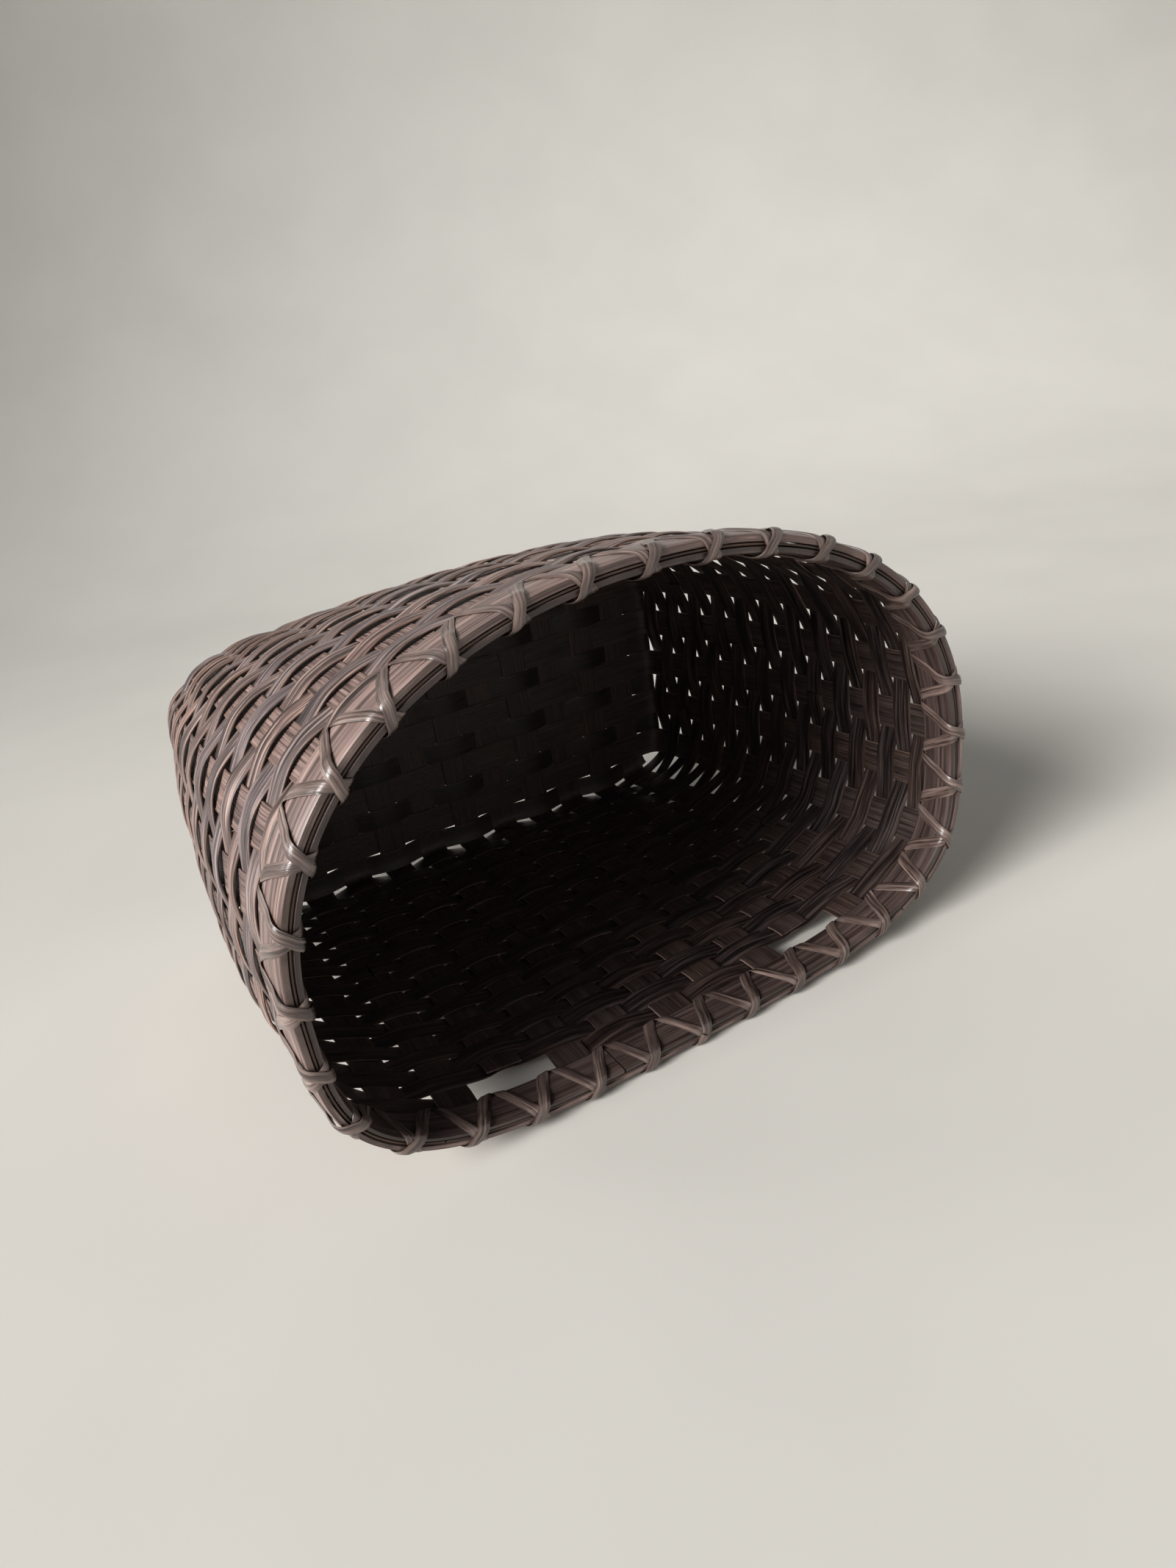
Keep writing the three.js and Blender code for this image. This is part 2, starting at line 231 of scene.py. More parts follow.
@dataclass
class BasketWall:
    """The surface that the stakes follow from the mouth to the base, in millimetres of the frame."""

    mouth: HalfRoundOutline = HalfRoundOutline(150, 198, 82, 2.2, 3.4)
    base: HalfRoundOutline = HalfRoundOutline(143, 154, 77, 5, 8)
    height: float = 239
    belly: float = 9
    bend_rise: float = 2
    half_long: int = 5
    stations: int = 32
    long_pitch: float = 24
    cross_pitch: float = 26.8
    first_cross: float = 20.8
    stake_half_thickness: float = 0.5
    rows_start: float = 20.9
    row_pitch: float = 10.2
    rows: int = 21
    shift: Array = field(init=False)
    rim: Array = field(init=False)
    rim_normal: Array = field(init=False)
    foot: Array = field(init=False)
    foot_run: Array = field(init=False)
    foot_normal: Array = field(init=False)

    def __post_init__(self) -> None:
        """Take the place of the mouth and the back from the frame, and lay out the stations."""
        mouth_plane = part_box("rim_outer_band")[0][1] / MM
        back_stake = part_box("long_stake_06")[0][2] / MM + self.stake_half_thickness
        self.shift = np.array([0.0, mouth_plane, back_stake])
        self.rim = self.mouth.even_points(np.arange(self.stations) / self.stations)
        self.rim_normal = self.mouth.normals(self.rim)
        feet = [self.station_foot(station) for station in range(self.stations)]
        self.foot = np.array([foot for foot, _ in feet])
        self.foot_run = np.array([run for _, run in feet])
        self.foot_normal = self.base.normals(self.foot)

    @property
    def foot_depth(self) -> float:
        """Give the depth at which a stake begins to bend into the base."""
        return self.height - self.bend_rise

    def cross_height(self, index: int) -> float:
        """Give the height of a cross stake's middle over the back."""
        return self.first_cross + index * self.cross_pitch

    def station_foot(self, station: int) -> tuple[Array, Array]:
        """Give the place where a station's stake leaves the base, and the way it runs there.

        Args:
            station: Count of the stake from the middle of the back.

        Returns:
            The place and the outward direction, each in x and z.
        """
        front = self.stations // 2
        from_back = station - self.stations if station > front else station
        from_front = station - front
        if abs(from_back) <= self.half_long:
            x = -from_back * self.long_pitch
            return np.array([x, self.base.height_at(x, False)]), np.array([0.0, -1.0])
        if abs(from_front) <= self.half_long:
            x = from_front * self.long_pitch
            return np.array([x, self.base.height_at(x, True)]), np.array([0.0, 1.0])
        side = math.copysign(1.0, from_front)
        z = self.cross_height(abs(from_back) - self.half_long - 1)
        return np.array([side * self.base.half_width_at(z), z]), np.array([side, 0.0])

    def flat_frame(self, station: int, depths: Array) -> tuple[Array, Array]:
        """Give a stake's middle line and facing in x and z.

        Args:
            station: Count of the stake from the middle of the back.
            depths: Depths below the mouth.

        Returns:
            Points and normals, one row for each depth.
        """
        station %= self.stations
        down = np.asarray(depths, float)[:, None] / self.foot_depth
        normal = unit(self.rim_normal[station] * (1 - down) + self.foot_normal[station] * down)
        swell = self.belly * np.sin(np.pi * np.clip(down, 0, 1)) * np.minimum(1, 1 + normal[:, 1:])
        point = self.rim[station] * (1 - down) + self.foot[station] * down + normal * swell
        return point, normal

    def place(self, flat: Array, depths: Array) -> Array:
        """Lift points in x and z at their depths into the frame."""
        return np.column_stack([flat[:, 0], depths, flat[:, 1]]) + self.shift

    def row_depth(self, row: float) -> float:
        """Give the depth of a row's middle."""
        return self.rows_start + (row - 0.5) * self.row_pitch

    def rim_way(self, places: Array, out: Array, depths: Array) -> tuple[Array, Array]:
        """Give points of the smooth rim, which follows the mouth and the lean of the stakes.

        Args:
            places: Places counted in stations.
            out: Distances outward from the middle of the stakes.
            depths: Depths below the mouth.

        Returns:
            Points in the frame and outward normals.
        """
        flat = self.mouth.even_points(places / self.stations)
        normal = self.mouth.normals(flat)
        lean = np.zeros_like(flat)
        low = np.floor(places).astype(int)
        share = places - low
        for step, weight in enumerate(self.spline_weights(share)):
            for station in range(self.stations):
                mine = (low + step - 1) % self.stations == station
                if mine.any():
                    moved, _ = self.flat_frame(station, depths[mine])
                    lean[mine] += weight[mine, None] * (moved - self.rim[station])
        return self.place(flat + lean + normal * out[:, None], depths), in_frame(normal)

    @staticmethod
    def spline_weights(share: Array) -> list[Array]:
        """Give the four weights of a smooth spline between its neighbours.

        Args:
            share: Shares of the way from one neighbour to the next.

        Returns:
            The weights of the four neighbours in order.
        """
        one, two, three = share, share**2, share**3
        return [
            (1 - 3 * one + 3 * two - three) / 6,
            (4 - 6 * two + 3 * three) / 6,
            (1 + 3 * one + 3 * two - 3 * three) / 6,
            three / 6,
        ]


# ---------------------------------------------------------------------------------------------
# Strips of reed
# ---------------------------------------------------------------------------------------------


@dataclass
class Way:
    """The line that a strip follows: its middle, its width direction and its face direction."""

    points: Array
    across: Array
    out: Array
    width: Array
    thick: Array
    curl: float = 0.0

    @classmethod
    def along(cls, points: Array, face: Array, width: Array | None = None, thick: Array | None = None,
              curl: float = 0.0) -> Way:
        """Make a way from a line and the rough direction of the strip's face.

        Args:
            points: The middle line.
            face: Rough outward direction at each point.
            width: Width shares at each point, or None for a strip of one width.
            thick: Thickness shares at each point, or None for a strip of one thickness.
            curl: How far one long edge of the strip curls in.

        Returns:
            The way, with its directions square to the line.
        """
        run = unit(np.gradient(points, axis=0))
        out = unit(face - run * np.sum(face * run, axis=1, keepdims=True))
        ones = np.ones(len(points))
        return cls(points, unit(np.cross(out, run)), out, ones if width is None else width,
                   ones if thick is None else thick, curl)

    @property
    def run(self) -> Array:
        """Give the length along the line at each point."""
        steps = np.linalg.norm(np.diff(self.points, axis=0), axis=1)
        return np.concatenate([[0.0], np.cumsum(steps)])


@dataclass(frozen=True)
class Section:
    """The section of a straight strip as a loop of places across and out of its middle plane."""

    loop: tuple[tuple[float, float], ...]

    @classmethod
    def oval(cls, width: float, crown: float, back: float, power: float, count: int) -> Section:
        """Make a strip section with one crowned face and one flatter face.

        Args:
            width: Width of the strip.
            crown: Height of the crowned face over the middle plane.
            back: Depth of the flatter face under it.
            power: How square the section is: two is an ellipse.
            count: Number of corners.

        Returns:
            The section.
        """
        loop = []
        for step in range(count):
            angle = 2 * math.pi * (step + 0.5) / count
            cosine, sine = math.cos(angle), math.sin(angle)
            across = width / 2 * math.copysign(abs(cosine) ** (2 / power), cosine)
            flatter = power if sine > 0 else 2 * power
            height = crown if sine > 0 else back
            loop.append((across, height * math.copysign(abs(sine) ** (2 / flatter), sine)))
        return cls(tuple(loop))

    @classmethod
    def ridged(cls, width: float, thickness: float, ridges: int, relief: float, bevel: float = 0.4) -> Section:
        """Make a flat strip section whose outer face has fine ridges along the fibre.

        Args:
            width: Width of the strip.
            thickness: Thickness at the ridges.
            ridges: Number of ridges on the outer face.
            relief: Depth of the grooves between the ridges.
            bevel: Largest width of the slanted edges.

        Returns:
            The section.
        """
        half, face = width / 2, thickness / 2
        edge = min(face, bevel)
        steps = 2 * ridges
        top = []
        for step in range(steps + 1):
            across = (half - edge) * (1 - 2 * step / steps)
            top.append((across, face - (relief if step % 2 else 0.0)))
        bottom = [(-half + edge, -face), (-half / 3, -face), (half / 3, -face), (half - edge, -face)]
        return cls(tuple([(half, 0.0), *top, (-half, 0.0), *bottom]))

    @property
    def half_width(self) -> float:
        """Give half the width of the strip."""
        return max(across for across, _ in self.loop)


@dataclass
class StraightReed:
    """One straight strip, modelled once and kept as the pattern for its copies."""

    name: str
    section: Section
    segments: tuple[int, int]
    smooth_angle: float = 50.0
    pattern: bpy.types.Object = field(init=False)

    def __post_init__(self) -> None:
        """Model the strip: a drawn section, pulled to a length and divided along it."""
        bpy.ops.object.select_all(action="DESELECT")
        bpy.ops.mesh.primitive_circle_add(vertices=len(self.section.loop), radius=1, fill_type="NGON")
        self.pattern = bpy.context.object
        self.pattern.name = f"{self.name}_pattern"
        for corner, (across, out) in zip(self.pattern.data.vertices, self.section.loop):
            corner.co = (0.0, across, out)
        bpy.ops.object.mode_set(mode="EDIT")
        bpy.ops.mesh.select_all(action="SELECT")
        bpy.ops.mesh.extrude_region_move(TRANSFORM_OT_translate={"value": (1, 0, 0)})
        for parts in self.segments:
            select_edges(self.pattern.data, lambda one, two: abs(one.x - two.x) > 1e-6)
            bpy.ops.mesh.subdivide(number_cuts=parts - 1)
        bpy.ops.mesh.select_all(action="SELECT")
        bpy.ops.mesh.normals_make_consistent(inside=False)
        bpy.ops.object.mode_set(mode="OBJECT")
        bpy.ops.object.shade_smooth_by_angle(angle=math.radians(self.smooth_angle))

    def lay(self, name: str, way: Way, tone: float, grain: float) -> bpy.types.Object:
        """Copy the strip and lay the copy along a way.

        Args:
            name: Name of the new piece.
            way: The line that the piece follows.
            tone: Tone of this strip from 0 to 1.
            grain: Length that this strip's grain is moved along it, so that no two look alike.

        Returns:
            The piece, with its place in its mesh.
        """
        piece = bpy.data.objects.new(name, self.pattern.data.copy())
        piece.data.name = name
        bpy.context.scene.collection.objects.link(piece)
        count = len(piece.data.vertices)
        straight = np.empty(count * 3)
        piece.data.vertices.foreach_get("co", straight)
        straight = straight.reshape(-1, 3)
        run = way.run
        along = straight[:, 0] * run[-1]

        def at(values: Array) -> Array:
            """Read the way's values at the place of each corner along it."""
            columns = values.reshape(len(run), -1).T
            return np.column_stack([np.interp(along, run, column) for column in columns])

        wide = straight[:, 1:2] * at(way.width)
        curl = way.curl * np.clip(straight[:, 1:2] / self.section.half_width, 0, 1) ** 2
        deep = straight[:, 2:3] * at(way.thick) - curl
        place = at(way.points) + wide * unit(at(way.across)) + deep * unit(at(way.out))
        piece.data.vertices.foreach_set("co", (place * MM).ravel())
        over = wide[:, 0] + EDGE_TURN * straight[:, 2]
        reed = np.column_stack([along + grain, over, straight[:, 1] / self.section.half_width])
        piece.data.attributes.new(REED_ATTRIBUTE, "FLOAT_VECTOR", "POINT").data.foreach_set("vector", reed.ravel())
        # Outer-face mask; the finishes paint shade on the other faces of the strip.
        outer = (straight[:, 2] > OUTER_SIDE).astype(float)
        for attribute, values in ((TONE_ATTRIBUTE, np.full(count, tone)), (FACE_ATTRIBUTE, outer)):
            piece.data.attributes.new(attribute, "FLOAT", "POINT").data.foreach_set("value", values)
        piece.data.update()
        self.face_outwards(piece)
        return piece

    @staticmethod
    def face_outwards(piece: bpy.types.Object) -> None:
        """Turn the faces of a closed piece outwards.

        Args:
            piece: The piece.
        """
        bpy.ops.object.select_all(action="DESELECT")
        piece.select_set(True)
        bpy.context.view_layer.objects.active = piece
        bpy.ops.object.mode_set(mode="EDIT")
        bpy.ops.mesh.select_all(action="SELECT")
        bpy.ops.mesh.normals_make_consistent(inside=False)
        bpy.ops.object.mode_set(mode="OBJECT")

    def discard(self) -> None:
        """Remove the pattern once all its copies are laid."""
        mesh = self.pattern.data
        bpy.data.objects.remove(self.pattern)
        bpy.data.meshes.remove(mesh)


# ---------------------------------------------------------------------------------------------
# Finishes
# ---------------------------------------------------------------------------------------------


@dataclass(frozen=True)
class Graph:
    """A node tree, with the kinds of node that the finishes and the studio share."""

    tree: bpy.types.NodeTree

    def feed(self, socket: bpy.types.NodeSocket, value: Feed) -> None:
        """Link a socket to another one, or give it a plain value.

        Args:
            socket: The input.
            value: The output that it is linked to, or its value.
        """
        if isinstance(value, bpy.types.NodeSocket):
            self.tree.links.new(value, socket)
        else:
            socket.default_value = value

    def add(self, kind: str, feeds: dict[str | int, Feed] | None = None) -> bpy.types.Node:
        """Add a node and feed its inputs.

        Args:
            kind: Kind of the node, without the prefix that all kinds share.
            feeds: Sockets or values for its inputs, by name or number.

        Returns:
            The node.
        """
        node = self.tree.nodes.new(f"ShaderNode{kind}")
        for name, value in (feeds or {}).items():
            self.feed(node.inputs[name], value)
        return node

    def attribute(self, name: str) -> bpy.types.Node:
        """Add a node that reads an attribute of the strips.

        Args:
            name: Name of the attribute.

        Returns:
            The node.
        """
        node = self.add("Attribute")
        node.attribute_name = name
        return node

    def math(self, operation: str, one: Feed, two: Feed = 0.0) -> bpy.types.NodeSocket:
        """Add a sum of two values.

        Args:
            operation: The kind of sum.
            one: The first value.
            two: The second value.

        Returns:
            The result.
        """
        node = self.add("Math")
        node.operation = operation
        self.feed(node.inputs[0], one)
        self.feed(node.inputs[1], two)
        return node.outputs[0]

    def noise(self, place: bpy.types.NodeSocket, scale: float, detail: float, rough: float) -> bpy.types.NodeSocket:
        """Add a cloud of noise and give its value."""
        return self.add("TexNoise", {"Vector": place, "Scale": scale, "Detail": detail,
                                     "Roughness": rough}).outputs["Fac"]

    def stretch(self, value: Feed, given: tuple[Feed, Feed], wanted: tuple[float, float]) -> bpy.types.Node:
        """Add a node that maps one span of values to another.

        Args:
            value: The value.
            given: Where the span of the value begins and ends.
            wanted: Where the span of the result begins and ends.

        Returns:
            The node.
        """
        return self.add("MapRange", {"Value": value, "From Min": given[0], "From Max": given[1],
                                     "To Min": wanted[0], "To Max": wanted[1]})

    def ramp(self, value: bpy.types.NodeSocket, stops: list[tuple[float, Shade]]) -> bpy.types.NodeSocket:
        """Add a colour ramp.

        Args:
            value: The value that runs along it.
            stops: Places and colours, in order.

        Returns:
            The colour.
        """
        node = self.add("ValToRGB", {"Fac": value})
        points = node.color_ramp.elements
        while len(points) < len(stops):
            points.new(0.5)
        while len(points) > len(stops):
            points.remove(points[-1])
        for point, (place, colour) in zip(points, stops):
            point.position, point.color = place, colour
        return node.outputs["Color"]

    def mix(self, kind: str, share: Feed, one: Feed, two: Feed) -> bpy.types.NodeSocket:
        """Add a mix of two colours.

        Args:
            kind: How the second colour goes over the first.
            share: Share of the second colour.
            one: The first colour.
            two: The second colour.

        Returns:
            The mixed colour.
        """
        node = self.add("Mix")
        node.data_type, node.blend_type = "RGBA", kind
        for index, value in ((0, share), (6, one), (7, two)):
            self.feed(node.inputs[index], value)
        return node.outputs[2]


class Grain:
    """The grain of stained reed, as one node group that every finish shares."""

    GROUP = "stained_reed_grain"
    INPUTS = (("Streak Length", 30.0), ("Streak Width", 1.0), ("Fibre Width", 0.5), ("Edge Start", 0.7),
              ("Comb Pitch", 1.27))
    FIBRE_RUN = 0.6
    BLOTCH_SCALE = (0.035, 0.09)
    EDGE_WANDER = 0.35
    EDGE_END = 1.02
    COMB_FRAY = 0.9
    STREAK_HEIGHT = 0.45
    PATCH_SCALE = 0.06
    PATCH_SPAN = (0.42, 0.6)
    PATCH_SHARES = (0.15, 1.0)

    @classmethod
    def group(cls) -> bpy.types.NodeTree:
        """Give the node group, and build it at the first call."""
        return bpy.data.node_groups.get(cls.GROUP) or cls.build()

    @staticmethod
    def cloud(graph: Graph, along: Feed, across: Feed, strand: Feed, detail: float,
              rough: float) -> bpy.types.NodeSocket:
        """Add noise that lies along a strip and changes from strand to strand.

        Args:
            graph: The tree of the group.
            along: Place along the strip.
            across: Place across the strip.
            strand: Tone of the strand.
            detail: Number of finer layers.
            rough: Share of the finer layers.

        Returns:
            The value of the noise.
        """
        place = graph.add("CombineXYZ", {0: along, 1: across, 2: strand})
        return graph.noise(place.outputs[0], 1.0, detail, rough)

    @classmethod
    def build(cls) -> bpy.types.NodeTree:
        """Build the group from streaks, fibre lines, slow blotches and an edge mask (worn edges, and on the rim bands a
        painted shadow line).

        Returns:
            The node group.
        """
        tree = bpy.data.node_groups.new(cls.GROUP, "ShaderNodeTree")
        for name, value in cls.INPUTS:
            tree.interface.new_socket(name, in_out="INPUT", socket_type="NodeSocketFloat").default_value = value
        graph = Graph(tree)
        given = tree.nodes.new("NodeGroupInput").outputs
        reed, tone, outer = (graph.attribute(name) for name in (REED_ATTRIBUTE, TONE_ATTRIBUTE, FACE_ATTRIBUTE))
        along, across, edge = graph.add("SeparateXYZ", {0: reed.outputs["Vector"]}).outputs
        strand = tone.outputs["Fac"]
        run = graph.math("DIVIDE", along, given["Streak Length"])
        streak = cls.cloud(graph, run, graph.math("DIVIDE", across, given["Streak Width"]), strand, 5.0, 0.6)
        fibre_run = graph.math("MULTIPLY", run, cls.FIBRE_RUN)
        fibre = cls.cloud(graph, fibre_run, graph.math("DIVIDE", across, given["Fibre Width"]), strand, 2.0, 0.5)
        slow = [graph.math("MULTIPLY", place, scale) for place, scale in zip((along, across), cls.BLOTCH_SCALE)]
        blotch = cls.cloud(graph, *slow, strand, 3.0, 0.55)
        half_pitch = graph.math("MULTIPLY", given["Comb Pitch"], 0.5)
        groove = graph.math("DIVIDE", graph.math("PINGPONG", across, half_pitch), half_pitch)
        fray = graph.math("MULTIPLY", graph.math("SUBTRACT", fibre, 0.5), cls.COMB_FRAY)
        wander = graph.math("MULTIPLY", graph.math("SUBTRACT", streak, 0.5), cls.EDGE_WANDER)
        to_edge = graph.math("ADD", graph.math("ABSOLUTE", edge), wander)
        # Edge mask: worn edges, and on the rim bands a painted shadow line along the lower edge.
        edge_wear_and_shadow = graph.stretch(to_edge, (given["Edge Start"], cls.EDGE_END), (0.0, 1.0))
        edge_wear_and_shadow.interpolation_type = "SMOOTHSTEP"
        patches = cls.cloud(graph, graph.math("MULTIPLY", along, cls.PATCH_SCALE), edge, strand, 2.0, 0.5)
        patchy = graph.stretch(patches, cls.PATCH_SPAN, cls.PATCH_SHARES)
        made = {
            "Streak": streak,
            "Fibre": fibre,
            "Comb": graph.math("ADD", groove, fray),
            "Blotch": blotch,
            "Edge": graph.math("MULTIPLY", edge_wear_and_shadow.outputs[0], patchy.outputs[0]),
            "Tone": strand,
            "Face": outer.outputs["Fac"],
            "Height": graph.math("ADD", graph.math("MULTIPLY", streak, cls.STREAK_HEIGHT),
                                 graph.math("MULTIPLY", fibre, 1 - cls.STREAK_HEIGHT)),
        }
        for name in made:
            tree.interface.new_socket(name, in_out="OUTPUT", socket_type="NodeSocketFloat")
        put = tree.nodes.new("NodeGroupOutput")
        for name, value in made.items():
            graph.feed(put.inputs[name], value)
        return tree


@dataclass(frozen=True)
class ReedFinish:
    """A stained reed finish: its colours along the grain, its strand tints and its gloss."""

    name: str
    dark: tuple[int, int, int]
    middle: tuple[int, int, int]
    light: tuple[int, int, int]
    edge: tuple[int, int, int]
    tints: tuple[Colour, ...]
    streak_length: float = 30.0
    streak_width: float = 1.0
    fibre_width: float = 0.5
    edge_start: float = 0.72
    edge_share: float = 0.6
    fibre_share: float = 0.35
    comb_share: float = 0.0
    gloss: tuple[float, float] = (0.42, 0.62)
    relief: float = 0.25
    bump: float = 0.9
    coat: float = 0.0
    coat_gloss: float = 0.25
    specular: float = 0.45
    # back_shade and back_warmth: painted shade on the inner face of the strips, where the inside of the basket lies in
    # shade.
    back_shade: float = 0.24
    back_warmth: Colour = (1.0, 0.96, 0.94)

    def colour(self, graph: Graph, grain: bpy.types.Node) -> bpy.types.NodeSocket:
        """Add the colour: streaks, strand tints, blotches, fibre lines, worn edges (on the rim bands also a painted
        shadow line along the lower edge) and painted shade on the inner face.

        Args:
            graph: The tree of the material.
            grain: The grain in it.

        Returns:
            The colour.
        """
        parts = grain.outputs
        white = (1.0, 1.0, 1.0, 1.0)
        body = graph.ramp(parts["Streak"], [(0.36, linear(*self.dark)), (0.5, linear(*self.middle)),
                                            (0.64, linear(*self.light))])
        stops = [(index / max(len(self.tints) - 1, 1), (*tint, 1.0)) for index, tint in enumerate(self.tints)]
        # Painted shade: the inner face of every strip is darkened, as the inside of the basket lies in shade.
        painted_inner_shade = tuple(self.back_shade * warmth for warmth in self.back_warmth)
        layers = (
            (1.0, "Tone", stops),
            (1.0, "Blotch", [(0.3, (0.7, 0.7, 0.72, 1.0)), (0.7, (1.25, 1.22, 1.18, 1.0))]),
            (self.fibre_share, "Fibre", [(0.34, (0.45, 0.43, 0.42, 1.0)), (0.52, white)]),
            (self.comb_share, "Comb", [(0.06, (0.25, 0.22, 0.21, 1.0)), (0.32, white)]),
        )
        for share, part, colours in layers:
            body = graph.mix("MULTIPLY", share, body, graph.ramp(parts[part], colours))
        # Edge colour: worn edges on most strips; on the rim bands the dark edge colour also darkens the top face and
        # paints a shadow line along the lower edge.
        edge_wear_and_shadow = graph.math("MULTIPLY", parts["Edge"], self.edge_share)
        edged = graph.mix("MIX", edge_wear_and_shadow, body, linear(*self.edge))
        # Multiplies the inner face by the painted shade colour.
        side = graph.ramp(parts["Face"], [(0.0, (*painted_inner_shade, 1.0)), (1.0, white)])
        return graph.mix("MULTIPLY", 1.0, edged, side)

    def material(self) -> bpy.types.Material:
        """Build the finish as a material of nodes.

        Returns:
            The material.
        """
        made = bpy.data.materials.new(self.name)
        made.use_nodes = True
        graph = Graph(made.node_tree)
        grain = graph.add("Group")
        grain.node_tree = Grain.group()
        for name, value in (("Streak Length", self.streak_length), ("Streak Width", self.streak_width),
                            ("Fibre Width", self.fibre_width), ("Edge Start", self.edge_start)):
            grain.inputs[name].default_value = value
        rough = graph.stretch(grain.outputs["Streak"], (0.3, 0.7), self.gloss)
        bump = graph.add("Bump", {"Strength": self.bump, "Distance": self.relief * MM,
                                  "Height": grain.outputs["Height"]})
        shader = made.node_tree.nodes["Principled BSDF"]
        for name, value in (("Base Color", self.colour(graph, grain)), ("Roughness", rough.outputs[0]),
                            ("Normal", bump.outputs[0]), ("Specular IOR Level", self.specular),
                            ("Coat Weight", self.coat), ("Coat Roughness", self.coat_gloss)):
            graph.feed(shader.inputs[name], value)
        return made


STRAND_TINTS = (
    (0.72, 0.75, 0.84), (1.08, 0.98, 0.90), (0.86, 0.88, 0.93), (1.25, 1.08, 0.95), (0.80, 0.79, 0.82),
    (1.00, 1.04, 1.12), (1.20, 1.00, 0.88), (0.92, 0.90, 0.90),
)
STAKE_TINTS = ((0.88, 0.88, 0.9), (1.1, 1.02, 0.97), (0.94, 0.96, 1.0), (1.16, 1.08, 1.02))
WEAVER_FINISH = ReedFinish("weaver_grey_brown_reed", (30, 25, 25), (96, 82, 80), (174, 158, 155), (140, 106, 86),
                           STRAND_TINTS, 40.0, 1.7, 0.8, edge_share=0.5, fibre_share=0.6, gloss=(0.36, 0.56),
                           specular=0.55)
STAKE_FINISH = ReedFinish("stake_warm_brown_reed", (68, 53, 50), (128, 107, 101), (160, 139, 132), (138, 108, 91),
                          STAKE_TINTS, 40.0, 1.2, 0.5, edge_share=0.3, fibre_share=0.5, comb_share=0.6,
                          relief=0.35, gloss=(0.5, 0.68))
BASE_FINISH = ReedFinish("base_dark_brown_reed", (46, 38, 35), (78, 64, 58), (106, 90, 82), (112, 84, 66),
                         STAKE_TINTS, 36.0, 0.8, 0.4, gloss=(0.5, 0.68))
# Dark edge colour of the bands: darkens the top face and paints a shadow line along the lower edge.
RIM_FINISH = ReedFinish("rim_pale_brown_reed", (78, 63, 60), (126, 107, 103), (166, 146, 141), (66, 50, 44),
                        STAKE_TINTS, 80.0, 1.5, 0.7, edge_start=0.965, edge_share=0.9, fibre_share=0.45,
                        gloss=(0.3, 0.44), specular=0.6, back_shade=0.34)
CANE_FINISH = ReedFinish("lashing_satin_cane", (58, 46, 43), (102, 87, 82), (144, 127, 120), (118, 97, 85),
                         ((0.95, 0.95, 0.98), (1.1, 1.03, 0.98)), 24.0, 1.0, 0.5, edge_share=0.35, fibre_share=0.6,
                         gloss=(0.24, 0.4), coat=0.15, specular=0.6, back_shade=0.44)


# ---------------------------------------------------------------------------------------------
# Sub-assemblies
# ---------------------------------------------------------------------------------------------


@dataclass
class SubAssembly:
    """Pieces of one kind, with their finish and their material slot."""

    wall: BasketWall
    chance: np.random.Generator
    made: list[bpy.types.Object] = field(default_factory=list, init=False)
    grain_shift: float = 900.0

    def dress(self, piece: bpy.types.Object, material: bpy.types.Material, slot: Slot, *nodes: str) -> None:
        """Give a piece its finish and its body, and hide the nodes of the frame that it replaces.

        Args:
            piece: The piece.
            material: Its finish.
            slot: Not used.
            nodes: Nodes of the frame that it replaces.
        """
        piece.data.materials.clear()
        piece.data.materials.append(material)
        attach(piece, "root")
        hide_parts(*nodes)
        self.made.append(piece)
        LOG.info("%s: %d faces, %s", piece.name, len(piece.data.polygons), material.name)

    def lay(self, reed: StraightReed, name: str, way: Way, material: bpy.types.Material, slot: Slot,
            stuff: str = "reed") -> None:
        """Lay a copy of a strip, with a tone and a grain of its own, and dress it.

        Args:
            reed: The straight strip.
            name: Name of the node that the copy stands for.
            way: The line that the copy follows.
            material: Its finish.
            slot: Its material slot in the record.
            stuff: What the strip is made of, for the name of the piece.
        """
        tone, grain = self.chance.random(), self.grain_shift * self.chance.random()
        self.dress(reed.lay(f"{name}_{stuff}", way, tone, grain), material, slot, name)


